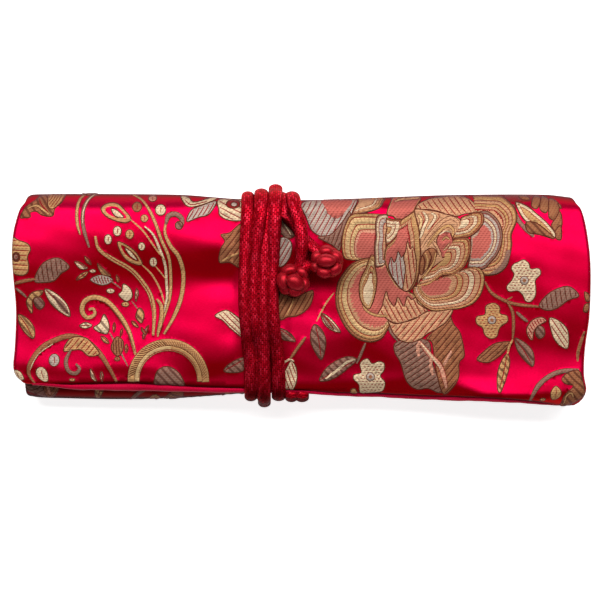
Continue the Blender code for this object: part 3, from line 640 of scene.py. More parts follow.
RIGHT_SIDE = [
    # the peony's far left petals, its leaf, and what stands round it
    ("h", "grey", -62, [(58, 96), (150, 76), (330, 70), (318, 130), (290, 190), (262, 250), (240, 305), (170, 268), (112, 232), (80, 160)]),
    ("n", "salmon", "twill", [(165, 80), (310, 78), (286, 128), (240, 170), (196, 150), (176, 112)]),
    ("h", "taupe", -70, [(302, 135), (300, 200), (262, 262), (252, 332), (214, 306), (142, 264), (205, 252), (262, 190)]),
    # leaf at the bottom, taupe and brown
    ("h", "taupe", -34, [(532, 800), (600, 778), (700, 790), (716, 880), (742, 960), (772, 1040), (752, 1052), (700, 1030), (640, 1034), (590, 992), (560, 900), (530, 846)]),
    ("h", "brown", -50, [(800, 636), (826, 700), (862, 752), (882, 862), (856, 896), (850, 982), (792, 1058), (764, 1034), (738, 930), (720, 800), (690, 776), (740, 730), (788, 690)]),
    ("s", "line", 5.2, [(652, 790), (706, 856), (762, 922), (792, 1030)]), ("s", "pink", 4.0, [(652, 790), (706, 856), (762, 922), (792, 1030)]),
    ("s", "pink", 3.4, [(652, 792), (646, 830), (652, 866)]), ("s", "pink", 3.2, [(716, 868), (712, 916), (722, 962)]), ("s", "pink", 3.0, [(816, 838), (800, 872), (776, 912)]),
    ("s", "cream", 1.4, [(664, 800), (712, 860), (760, 926)]),
    ("o", "taupe", 1.8, [(498, 690), (508, 740), (548, 792)]),
    # top right corner
    ("n", "line", "twill", [(1092, 56), (1240, 56), (1228, 84), (1112, 86)]),
    ("b", "brown", "twill", [(1160, 58), (1206, 60), (1216, 78), (1176, 76)]),
    ("b", "brown", "twill", [(1240, 62), (1272, 60), (1282, 76), (1250, 122), (1222, 106)]), ("b", "brown", "twill", [(1290, 64), (1330, 70), (1330, 92), (1302, 142), (1268, 122)]),
    ("b", "brown", "twill", [(1338, 76), (1388, 88), (1384, 120), (1352, 176), (1314, 160)]), ("b", "brown", "twill", [(1352, 170), (1384, 136), (1384, 200), (1352, 240), (1326, 204)]),
    ("b", "brown", "twill", [(1342, 238), (1376, 206), (1372, 274), (1346, 272)]), ("b", "brown", "twill", [(1384, 100), (1400, 104), (1392, 124)]),
    ("o", "taupe", 3.6, [(1126, 100), (1148, 168), (1186, 218), (1232, 262)]),
    ("p", "gold", (("cream", 2.4), ("line", 0.6)), [(1142, 88), (1200, 108), (1252, 148), (1304, 192), (1344, 246), (1330, 268), (1262, 232), (1204, 196), (1164, 150)]),
    ("b", "brown", "hatch", [(1190, 192), (1240, 190), (1300, 232), (1336, 272), (1262, 252), (1204, 240)]),
    # flowers and twigs on the right
    ("f", "cream", 0, [(1150, 390), (1180, 378), (1206, 398), (1214, 424), (1254, 422), (1264, 450), (1238, 482), (1240, 520), (1238, 562), (1214, 592), (1188, 586), (1174, 556), (1148, 536), (1106, 540), (1094, 514), (1120, 480), (1130, 450), (1116, 424), (1126, 402)]),
    ("f", "gold", 0, [(990, 612), (1030, 596), (1060, 616), (1062, 650), (1096, 660), (1100, 690), (1062, 720), (1046, 766), (1014, 777), (984, 756), (974, 722), (944, 702), (944, 666), (986, 654)]),
    ("f", "cream", 0, [(370, 886), (396, 879), (416, 904), (450, 892), (478, 904), (476, 940), (458, 966), (482, 1000), (472, 1042), (440, 1052), (410, 1056), (386, 1068), (354, 1052), (348, 1010), (322, 984), (324, 960), (360, 950), (354, 910)]),
    ("b", "gold", "twill", [(308, 1036), (330, 1030), (346, 1066), (310, 1062)]),
    ("o", "brown", 2.6, [(985, 488), (1020, 546), (1092, 588), (1160, 606), (1270, 616)]), ("o", "brown", 2.4, [(1096, 590), (1124, 640), (1130, 706), (1126, 780)]),
    ("s", "brown", 1.6, [(1096, 580), (1124, 566)]),
    ("h", "taupe", 80, [(1256, 612), (1288, 562), (1340, 526), (1404, 514), (1452, 560), (1398, 584), (1344, 624), (1296, 634)]),
    ("o", "taupe", 2.6, [(1144, 642), (1172, 668), (1202, 692)]),
    ("h", "pink", 60, [(1196, 726), (1226, 682), (1270, 668), (1294, 688), (1254, 712), (1232, 742), (1226, 784), (1206, 770)]),
    ("b", "taupe", "hatch", [(1252, 712), (1282, 722), (1288, 760), (1262, 778), (1240, 752)]),
    ("h", "cream", 52, [(1308, 674), (1360, 688), (1408, 738), (1418, 824), (1372, 812), (1330, 762)]),
    ("h", "brown", -42, [(1118, 794), (1040, 800), (980, 842), (946, 884), (1002, 898), (1056, 868), (1092, 832)]),
    ("l", "gold", 0, [(1100, 852), (1112, 900), (1092, 980), (1064, 1048), (1048, 1030), (1050, 950), (1070, 890)]), ("s", "gold", 2.2, [(1126, 780), (1108, 820), (1100, 856)]),
    ("l", "taupe", 0, [(1138, 774), (1192, 800), (1232, 850), (1230, 918), (1180, 880), (1148, 830)]),
    ("b", "brown", "twill", [(1478, 540), (1500, 552), (1512, 580), (1488, 588)]), ("b", "brown", "twill", [(1482, 606), (1506, 600), (1500, 640), (1478, 640)]),
    ("s", "brown", 3.4, [(1494, 740), (1482, 800), (1474, 850), (1476, 892)]),
    ("o", "taupe", 4.0, [(1212, 1092), (1256, 1014), (1326, 962), (1400, 940), (1484, 934)]),
    ("b", "brown", "hatch", [(1386, 980), (1424, 948), (1484, 938), (1500, 1000), (1500, 1070), (1462, 1114), (1410, 1124), (1396, 1064), (1444, 1016), (1404, 1004)]),
    ("o", "gold", 1.6, [(1420, 1110), (1408, 1070), (1432, 1050), (1450, 1076)]),
    ("d", "gold", 0, [(1324, 1040), (1350, 1014), (1378, 1044), (1370, 1076), (1338, 1086), (1322, 1066)]), ("d", "gold", 0, ring(1282, 1084, 16, 8)),
    # between the cord and the peony
    ("s", "gold", 1.6, [(222, 545), (180, 602), (134, 690)]),
    ("l", "taupe", 0, [(128, 704), (166, 740), (182, 800), (160, 884), (122, 836), (104, 784), (108, 732)]),
    ("l", "cream", 0, [(160, 648), (212, 680), (256, 744), (206, 732), (168, 694)]), ("l", "taupe", 0, [(160, 652), (196, 690), (222, 732), (184, 706)]),
    ("o", "taupe", 2.2, [(382, 800), (362, 850), (338, 904)]),
    ("l", "taupe", 0, [(148, 988), (180, 930), (232, 890), (292, 868), (340, 884), (292, 930), (232, 974), (184, 992)]), ("s", "cream", 2.6, [(180, 980), (240, 936), (290, 896), (330, 884)]),
    ("o", "brown", 2.4, [(80, 768), (40, 822), (0, 880)]),
]
PEONY = [         # petals from the back forward; "w" has bands that widen away from its anchor
    ("w", "peach", (("taupe", .05), ("line", .02), ("gold", .09), ("line", .02), ("peach", .1), ("line", .02), ("cream", .1), ("line", .02)), (262, 84), [(240, 66), (445, 66), (440, 100), (405, 150), (330, 178), (250, 198), (175, 222), (205, 160), (238, 104)]),
    ("w", "salmon", (("gold", .05),), (600, 190), [(470, 200), (500, 110), (545, 66), (745, 66), (735, 100), (700, 150), (690, 175), (640, 215), (600, 238), (545, 240), (520, 215)]),
    ("o", "peach", 1.8, [(530, 100), (590, 80), (660, 76), (740, 70)]),
    ("h", "peach", 54, [(705, 155), (722, 120), (765, 98), (830, 75), (930, 60), (1060, 52), (1140, 72), (1195, 115), (1218, 175), (1190, 188), (1110, 200), (1050, 218), (980, 212), (930, 190), (870, 172), (790, 160), (730, 165)]),
    ("w", "peach", (("brown", .035), ("gold", .06), ("line", .015), ("peach", .07), ("line", .015), ("gold", .06), ("line", .015), ("peach", .05), ("line", .015)), (1200, 380), [(1190, 55), (1330, 56), (1420, 60), (1470, 95), (1505, 130), (1532, 180), (1538, 250), (1510, 320), (1490, 380), (1495, 450), (1478, 540), (1455, 620), (1400, 680), (1330, 702), (1270, 700), (1240, 660), (1330, 600), (1390, 520), (1420, 420), (1405, 300), (1350, 215), (1290, 175), (1240, 150), (1215, 100)]),
    ("n", "taupe", "twill", [(1486, 500), (1470, 580), (1440, 640), (1380, 688), (1300, 702), (1340, 672), (1400, 622), (1440, 550), (1452, 500)]),
    ("w", "salmon", (("taupe", .06), ("line", .02), ("grey", .1), ("line", .02), ("cream", .09), ("line", .02), ("grey", .07)), (1195, 430), [(1235, 185), (1290, 178), (1350, 215), (1398, 280), (1418, 370), (1405, 460), (1370, 540), (1320, 600), (1270, 650), (1210, 655), (1140, 650), (1150, 560), (1160, 450), (1165, 380), (1220, 340), (1250, 290), (1262, 220)]),
    ("w", "salmon", (("gold", .06), ("line", .02), ("yellow", .15), ("line", .025), ("yellow", .11), ("line", .02), ("pink", .04)), (362, 540), [(170, 215), (240, 200), (350, 200), (420, 205), (378, 240), (368, 330), (363, 430), (378, 520), (330, 560), (240, 578), (170, 575), (120, 560), (100, 480), (105, 380), (125, 300)]),
    ("w", "salmon", (("brown", .036), ("dark", .01), ("gold", .05), ("line", .014), ("yellow", .085), ("line", .014), ("peach", .035)), (500, 800), [(375, 540), (330, 560), (240, 580), (170, 620), (110, 690), (70, 760), (50, 860), (55, 960), (90, 1060), (150, 1160), (230, 1228), (330, 1255), (420, 1228), (470, 1160), (500, 1110), (560, 1090), (700, 1060), (800, 1000), (760, 930), (690, 860), (620, 830), (560, 790), (500, 700), (460, 620), (440, 560), (400, 600)]),
    ("h", "peach", 62, [(480, 1072), (440, 1040), (392, 1036), (430, 960), (444, 900), (465, 836), (485, 900), (512, 940), (535, 960), (560, 884), (590, 930), (612, 962), (640, 876), (676, 906), (712, 884), (724, 930), (760, 960), (812, 1000), (770, 1030), (700, 1060), (600, 1095), (540, 1100)]),
    ("o", "gold", 2.0, [(262, 900), (290, 980), (350, 1024), (420, 1040), (484, 1040)]),
    ("w", "cream", (("brown", .03), ("gold", .07), ("dark", .02), ("yellow", .12), ("line", .03), ("gold", .1), ("line", .03)), (318, 905), [(345, 536), (372, 560), (368, 620), (386, 720), (380, 820), (355, 920), (325, 980), (288, 962), (252, 900), (242, 800), (260, 720), (300, 640), (320, 580)]),
    ("w", "grey", (("taupe", .045), ("cream", .06), ("line", .022), ("grey", .13), ("line", .025), ("peach", .09), ("line", .02)), (600, 430), [(390, 225), (430, 205), (470, 208), (474, 300), (482, 360), (462, 450), (442, 520), (434, 580), (447, 615), (380, 635), (372, 560), (368, 480), (380, 380), (375, 300)]),
    ("w", "gold", (("brown", .12), ("line", .04), ("cream", .26), ("line", .05), ("cream", .24), ("line", .04)), (474, 330), [(466, 235), (520, 245), (588, 250), (584, 330), (547, 400), (500, 447), (466, 455), (460, 380), (472, 310)]),
    ("w", "salmon", (("brown", .03), ("gold", .13), ("line", .02), ("peach", .1), ("line", .02)), (476, 560), [(590, 250), (640, 215), (690, 180), (705, 160), (715, 240), (735, 330), (742, 430), (748, 520), (738, 620), (728, 700), (700, 780), (650, 835), (610, 830), (560, 790), (510, 720), (470, 640), (452, 560), (468, 470), (510, 430), (560, 370), (590, 300)]),
    ("h", "grey", 83, [(482, 640), (490, 600), (504, 556), (530, 600), (548, 560), (562, 506), (590, 560), (610, 530), (640, 600), (628, 700), (600, 815), (560, 785), (515, 720)]),
    ("h", "peach", 83, [(606, 560), (624, 500), (640, 420), (660, 490), (684, 470), (704, 540), (712, 620), (700, 740), (650, 828), (604, 826), (612, 740), (622, 640)]),
    ("b", "peach", "band", [(700, 160), (790, 165), (870, 178), (950, 200), (1020, 215), (1075, 250), (1080, 330), (1030, 400), (1010, 480), (960, 560), (900, 600), (850, 640), (760, 720), (720, 790), (735, 680), (748, 560), (742, 440), (735, 330), (712, 240)]),
    ("o", "yellow", 2.4, [(722, 200), (752, 250), (738, 330)]), ("o", "cream", 2.6, [(768, 180), (800, 236), (776, 300), (742, 400)]), ("o", "cream", 2.2, [(832, 190), (868, 216), (850, 262), (800, 330)]),
    ("s", "line", 0.9, [(890, 196), (900, 230), (860, 280), (810, 350)]), ("s", "line", 0.9, [(748, 180), (776, 240), (756, 310)]),
    ("o", "peach", 3.0, [(752, 480), (790, 410), (850, 340), (925, 262), (1000, 232), (1056, 270), (1050, 336)]), ("o", "gold", 2.6, [(800, 470), (850, 400), (905, 335), (972, 296), (1016, 330), (1004, 390)]),
    ("b", "salmon", "twill", [(880, 410), (925, 350), (985, 350), (1012, 430), (990, 520), (940, 560), (895, 520)]),
    ("o", "peach", 2.4, [(846, 420), (885, 480), (915, 556)]), ("o", "gold", 1.6, [(925, 420), (955, 390), (985, 410)]), ("o", "peach", 1.6, [(935, 500), (965, 470), (985, 440)]), ("s", "cream", 1.2, [(900, 372), (950, 340), (990, 350)]),
    ("b", "brown", "twill", [(752, 560), (790, 500), (850, 480), (882, 530), (842, 600), (792, 660), (750, 704), (738, 640)]),
    ("s", "dark", 1.5, [(764, 536), (782, 600), (764, 690)]), ("s", "dark", 1.4, [(812, 500), (836, 560), (806, 640)]), ("s", "gold", 1.6, [(786, 520), (806, 590), (786, 664)]), ("o", "gold", 1.8, [(872, 520), (852, 600), (800, 684), (758, 730)]),
    ("w", "cream", (("brown", .07), ("line", .03), ("gold", .14), ("line", .03), ("cream", .16), ("line", .03), ("peach", .14), ("line", .03)), (1078, 275), [(1080, 235), (1150, 205), (1215, 188), (1262, 205), (1258, 280), (1200, 350), (1160, 380), (1105, 395), (1030, 410), (1012, 395), (1050, 340), (1085, 290)]),
    ("w", "gold", (("brown", .05), ("line", .02), ("gold", .1), ("line", .025), ("peach", .12), ("line", .025), ("cream", .12), ("line", .025), ("peach", .12), ("line", .025)), (905, 590), [(1020, 410), (1110, 395), (1150, 415), (1158, 500), (1130, 590), (1090, 650), (1020, 695), (930, 705), (880, 740), (820, 790), (740, 815), (690, 825), (720, 780), (800, 720), (870, 650), (930, 600), (990, 550), (1012, 480)]),
    ("w", "salmon", (("gold", .05), ("line", .018), ("peach", .085), ("line", .018), ("cream", .085), ("line", .018), ("peach", .085), ("line", .018), ("gold", .08), ("line", .018), ("peach", .09)), (800, 780), [(690, 840), (700, 800), (760, 812), (830, 792), (900, 745), (940, 715), (1020, 702), (1090, 662), (1140, 645), (1200, 640), (1245, 660), (1270, 720), (1262, 800), (1230, 880), (1170, 940), (1080, 975), (1000, 985), (930, 995), (850, 995), (780, 960), (720, 900)]),
    ("h", "peach", -50, [(480, 1080), (540, 1105), (620, 1090), (700, 1065), (800, 1005), (900, 1000), (1000, 985), (1010, 1010), (960, 1090), (890, 1140), (800, 1190), (740, 1235), (660, 1258), (590, 1245), (530, 1190), (500, 1130)]),
]
MIDDLE_PART = [   # around the knots
    ("b", "taupe", "hatch", [(372, 240), (404, 260), (440, 320), (474, 380), (420, 398), (366, 340), (352, 280)]), ("s", "cream", 1.0, [(378, 262), (416, 320), (450, 376)]),
    ("h", "grey", -60, [(352, 420), (400, 390), (450, 422), (452, 500), (412, 572), (366, 590), (346, 500)]),
    ("h", "brown", -62, [(360, 752), (450, 800), (502, 790), (596, 752), (592, 826), (556, 884), (490, 926), (430, 932), (370, 944)]), ("s", "gold", 1.4, [(420, 926), (450, 860), (470, 800)]),
    ("l", "taupe", 0, [(366, 1010), (440, 1040), (482, 1098), (440, 1098), (380, 1078)]),
    ("h", "cream", 70, [(450, 1232), (482, 1270), (492, 1340), (480, 1400), (450, 1448), (414, 1432), (398, 1390), (400, 1320), (420, 1280)]), ("s", "cream", 2.0, [(394, 1252), (440, 1222), (470, 1236)]),
]
LEFT_SIDE = [
    ("b", "brown", "hatch", [(108, 204), (124, 140), (168, 92), (212, 62), (290, 56), (392, 60), (374, 112), (334, 150), (324, 196), (254, 192), (204, 166), (166, 176), (176, 202), (140, 206)]),
    ("h", "gold", -60, [(262, 62), (392, 62), (352, 130), (304, 152), (266, 112)]), ("o", "gold", 1.6, [(140, 150), (190, 130), (240, 150), (300, 186)]), ("s", "line", 1.2, [(180, 90), (220, 120), (290, 170)]),
    ("o", "gold", 2.4, [(540, 56), (500, 92), (484, 164), (488, 246), (506, 312)]), ("o", "taupe", 3.0, [(616, 54), (560, 84), (528, 144), (520, 222), (534, 302), (562, 392)]),
    ("s", "cream", 1.0, [(590, 66), (548, 104), (524, 170), (520, 240)]),
    ("o", "gold", 2.6, [(800, 52), (882, 92), (934, 154), (976, 240), (1012, 342), (1058, 450), (1070, 562), (1064, 702), (1020, 850), (988, 952)]),
    ("o", "cream", 2.4, [(908, 260), (962, 312), (1002, 402), (1036, 502), (1044, 622), (1046, 712), (1016, 830)]),
    ("b", "gold", "band", [(634, 150), (670, 118), (734, 118), (784, 160), (824, 212), (792, 238), (720, 224), (660, 192)]), ("n", "ground", "ground", [(660, 152), (686, 136), (730, 138), (772, 172), (794, 208), (734, 206), (682, 184)]),
    ("b", "cream", "twill", [(698, 152), (736, 160), (778, 204), (724, 198)]), ("s", "gold", 1.7, [(816, 214), (900, 290), (972, 392), (1034, 474)]),
    ("b", "gold", "band", [(740, 356), (792, 374), (852, 420), (894, 494), (852, 500), (790, 468), (752, 410)]), ("n", "ground", "ground", [(760, 378), (800, 394), (850, 438), (872, 478), (830, 468), (784, 430)]),
    ("b", "cream", "twill", [(784, 394), (826, 420), (864, 474), (818, 448)]), ("s", "gold", 1.8, [(890, 500), (952, 562), (1002, 652), (1032, 750)]),
    ("o", "gold", 3.6, [(1042, 232), (1036, 302), (1070, 382), (1122, 452), (1150, 562), (1136, 702), (1092, 822), (1028, 936)]),
    ("o", "taupe", 4.4, [(1042, 246), (1058, 194), (1108, 184), (1144, 218), (1140, 262)]), ("b", "taupe", "hatch", ring(1124, 254, 24, 26)),
    ("o", "gold", 4.0, [(600, 322), (622, 402), (702, 462), (822, 532), (902, 622), (946, 702), (966, 802), (960, 944)]), ("s", "line", 0.9, [(612, 370), (690, 452), (816, 530), (896, 620), (944, 704), (964, 840)]),
    ("o", "gold", 3.6, [(982, 716), (1012, 762), (1010, 842), (988, 940)]),
    ("d", "brown", 0, ring(860, 140, 30)), ("d", "pink", 0, ring(955, 88, 26, 20)), ("d", "cream", 0, ring(1008, 158, 34)), ("d", "gold", 0, ring(907, 210, 24)),
    ("d", "cream", 0, ring(738, 290, 26, 32)), ("d", "cream", 0, ring(680, 342, 24, 32)), ("d", "gold", 0, ring(815, 310, 26, 30)), ("d", "cream", 0, ring(890, 386, 22, 26)), ("d", "cream", 0, ring(962, 484, 24, 30)), ("s", "gold", 1.3, [(974, 508), (1010, 552), (1040, 590)]),
    ("l", "cream", 0, [(468, 480), (510, 488), (552, 522), (506, 528)]), ("l", "gold", 0, [(532, 446), (560, 466), (574, 500), (544, 486)]), ("l", "gold", 0, [(478, 596), (510, 556), (554, 544), (528, 580)]),
    ("d", "cream", 0, ring(582, 540, 20, 12)), ("l", "gold", 0, [(612, 490), (650, 520), (696, 570), (650, 570), (622, 534)]), ("h", "grey", 70, [(566, 596), (620, 564), (690, 578), (706, 604), (640, 630)]),
    ("s", "taupe", 1.5, [(700, 606), (728, 626), (756, 648)]), ("b", "cream", "twill", [(772, 620), (818, 650), (828, 702), (790, 730), (742, 690), (764, 664)]), ("l", "gold", 0, [(730, 562), (748, 590), (740, 612), (728, 590)]),
    ("d", "cream", 0, ring(692, 664, 26, 16)), ("l", "cream", 0, [(856, 646), (868, 680), (852, 732), (846, 690)]), ("d", "gold", 0, ring(785, 748, 24, 16)), ("s", "taupe", 1.3, [(824, 728), (844, 752), (862, 778)]),
    ("b", "gold", "hatch", [(872, 770), (902, 804), (888, 866), (850, 828)]), ("l", "gold", 0, [(824, 852), (850, 862), (868, 892), (838, 882)]), ("l", "taupe", 0, [(932, 878), (924, 920), (896, 970), (900, 920)]), ("l", "gold", 0, [(886, 892), (908, 912), (918, 940), (892, 924)]),
    ("h", "taupe", 84, [(218, 606), (240, 540), (290, 480), (372, 458), (438, 514), (386, 556), (342, 600), (280, 612)]), ("o", "brown", 2.8, [(84, 620), (150, 602), (226, 590)]),
    ("h", "gold", 4, [(76, 340), (130, 350), (180, 368), (202, 404), (182, 452), (188, 502), (176, 552), (130, 568), (76, 530)]), ("d", "dark", 0, ring(112, 452, 24, 30)), ("d", "taupe", 0, ring(110, 452, 14, 18)),
    ("o", "taupe", 2.2, [(92, 648), (124, 672), (156, 704)]), ("b", "gold", "hatch", [(156, 722), (200, 672), (268, 662), (244, 698), (196, 722), (190, 804), (162, 770)]), ("b", "taupe", "hatch", [(204, 712), (246, 704), (274, 750), (240, 782), (206, 752)]),
    ("l", "cream", 0, [(278, 652), (350, 680), (420, 750), (438, 824), (380, 800), (310, 740)]), ("n", "taupe", "hatch", [(330, 690), (400, 740), (430, 806), (380, 780)]),
    ("l", "gold", 0, [(100, 812), (160, 838), (206, 900), (202, 964), (150, 932), (108, 872)]),
    ("o", "gold", 4.4, [(850, 1064), (812, 930), (750, 820), (672, 732), (592, 704), (530, 730), (514, 790), (546, 832), (592, 812), (584, 776), (556, 782)]), ("s", "brown", 1.4, [(846, 1040), (800, 920), (742, 826), (668, 744), (600, 718)]),
    ("l", "cream", 0, [(496, 884), (534, 860), (578, 880), (536, 900)]), ("b", "cream", "hatch", [(652, 810), (684, 880), (672, 932), (620, 922), (584, 894), (622, 868)]), ("l", "gold", 0, [(632, 948), (664, 958), (684, 992), (650, 984)]),
    ("s", "taupe", 1.8, [(686, 924), (740, 1020), (802, 1136)]), ("l", "gold", 0, [(716, 860), (724, 890), (714, 926), (706, 890)]), ("l", "gold", 0, [(768, 896), (768, 926), (754, 954), (754, 920)]),
    ("h", "brown", 86, [(736, 950), (772, 980), (768, 1042), (736, 1074), (698, 1030), (708, 980)]), ("l", "gold", 0, [(794, 996), (804, 1026), (790, 1056), (782, 1020)]), ("d", "brown", 0, ring(736, 1090, 18, 14)),
    ("o", "brown", 4.6, [(166, 1250), (190, 1120), (258, 1020), (370, 962), (452, 948), (542, 980), (622, 1052), (682, 1142), (732, 1236)]), ("h", "gold", -50, [(440, 962), (532, 956), (584, 1000), (622, 1060), (556, 1072), (500, 1032), (400, 1042)]),
    ("s", "cream", 1.0, [(190, 1160), (240, 1060), (330, 996)]),
    ("o", "taupe", 3.4, [(446, 1030), (414, 1100), (430, 1166), (474, 1182), (500, 1152), (476, 1122)]),
    ("d", "grey", 0, ring(340, 1098, 34, 40)), ("d", "cream", 0, ring(258, 1188, 38, 48)), ("d", "cream", 0, ring(98, 1192, 34, 34)), ("l", "cream", 0, [(566, 1150), (590, 1180), (606, 1232), (572, 1210)]), ("l", "cream", 0, [(634, 1166), (648, 1190), (640, 1236), (628, 1200)]), ("d", "gold", 0, ring(452, 1222, 20, 10)),
    ("b", "taupe", "hatch", [(972, 1260), (976, 1190), (1004, 1150), (1052, 1138), (1104, 1160), (1140, 1204), (1154, 1262), (1060, 1262)]),
    ("b", "cream", "twill", [(1132, 70), (1180, 80), (1222, 108), (1344, 76), (1356, 92), (1270, 124), (1190, 138), (1152, 112)]), ("s", "line", 1.0, [(1160, 96), (1200, 124), (1300, 104)]),
    ("h", "grey", -60, [(1172, 230), (1198, 160), (1260, 130), (1356, 104), (1312, 182), (1244, 204)]),
    ("h", "cream", 28, [(1366, 98), (1450, 86), (1530, 100), (1530, 214), (1440, 222), (1380, 192), (1372, 150)]), ("b", "line", "twill", ring(1462, 122, 44, 26)), ("b", "grey", "twill", ring(1468, 124, 20, 14)),
    ("h", "brown", -52, [(1386, 312), (1440, 300), (1530, 250), (1530, 510), (1440, 486), (1376, 484), (1384, 404), (1412, 352)]), ("s", "gold", 1.8, [(1380, 484), (1440, 452), (1520, 420)]),
    ("h", "cream", 44, [(1348, 820), (1400, 788), (1444, 794), (1530, 870), (1530, 956), (1450, 904), (1400, 852)]),
    ("l", "taupe", 0, [(1404, 1166), (1440, 1120), (1530, 1082), (1530, 1160), (1460, 1178)]),
]


def draw_figure():
    draw(mapper(6.272, 0.0, 185.0), LEFT_SIDE)
    view = mapper(6.272, 0.0, 185.0)
    arc = lambda r, a0, a1: view([(1056 + r * math.cos(math.radians(a)), 1222 - r * math.sin(math.radians(a))) for a in np.linspace(a0, a1, 13)])
    stroke(arc(232, 184, -4), "dark", 8.4, taper=(1, 1))
    stroke(arc(232, 183, -3), "gold", 7.2, kind="band", taper=(1, 1))
    for a in np.linspace(6, 176, 46):
        e = a - 7
        stroke(view([(1056 + r * math.cos(math.radians(b)), 1222 - r * math.sin(math.radians(b))) for r, b in ((212, e), (230, (a + e) / 2), (250, a))]), "dark" if a > 100 else "brown", 0.9, taper=(1, 0.6), step=4)
    stroke(arc(196, 184, -4), "dark", 5.6, taper=(1, 1))
    stroke(arc(197, 183, 84), "yellow", 4.4, kind="band", taper=(1, 1))
    stroke(arc(197, 86, -3), "gold", 4.4, kind="band", taper=(1, 1))
    stroke(arc(188, 176, 8), "line", 0.9, taper=(0.4, 0.4))
    draw(mapper(6.815, 225.0, 180.0), MIDDLE_PART)
    draw(mapper(5.058, 290.0, 185.0), RIGHT_SIDE)
    draw(mapper(8.2526, 330.0, 190.0), PEONY)


draw_figure()


# ---- the brocade cover -------------------------------------------------------
def repeated(shapes):
    """The figure, and its next repeat over the top fold, the back and the bottom fold."""
    out = list(shapes)
    for p, ink, kind in shapes:
        if ink == "tick" or kind == "ridge":            # the finest detail is on the front only
            continue
        p = p[::2] if len(p) > 18 else p
        for dx, dv, end in ((34.0, 93.0, 176.0), (34.0 - 232.0, 93.0, 176.0), (68.0, 186.0, 176.0), (68.0 - 232.0, 186.0, 176.0)):
            q = p + (dx, dv)
            if q[:, 0].max() > -119 and q[:, 0].min() < 119 and q[:, 1].min() < end:
                out.append((q, ink, kind))
    return out


def clean_outline(p):
    """The outline without doubled points, anticlockwise at its lowest point, where it starts."""
    p = p[np.linalg.norm(p - np.roll(p, 1, 0), axis=1) > 0.02]
    p = np.roll(p, -int(np.argmin(p[:, 1] * 1000 + p[:, 0])), axis=0)
    a, b = p[0] - p[-1], p[1] - p[0]
    return np.roll(p[::-1], 1, axis=0) if a[0] * b[1] - a[1] * b[0] < 0 else p


def winding(p, q):
    """True for the points q that the outline p winds round."""
    a, b = p, np.roll(p, -1, 0)
    y = q[:, 1:2]
    side = (b[:, 0] - a[:, 0]) * (y - a[:, 1]) - (q[:, 0:1] - a[:, 0]) * (b[:, 1] - a[:, 1])
    up = (a[:, 1] <= y) & (b[:, 1] > y) & (side > 0)
    down = (a[:, 1] > y) & (b[:, 1] <= y) & (side < 0)
    return (up.sum(1) - down.sum(1)) != 0


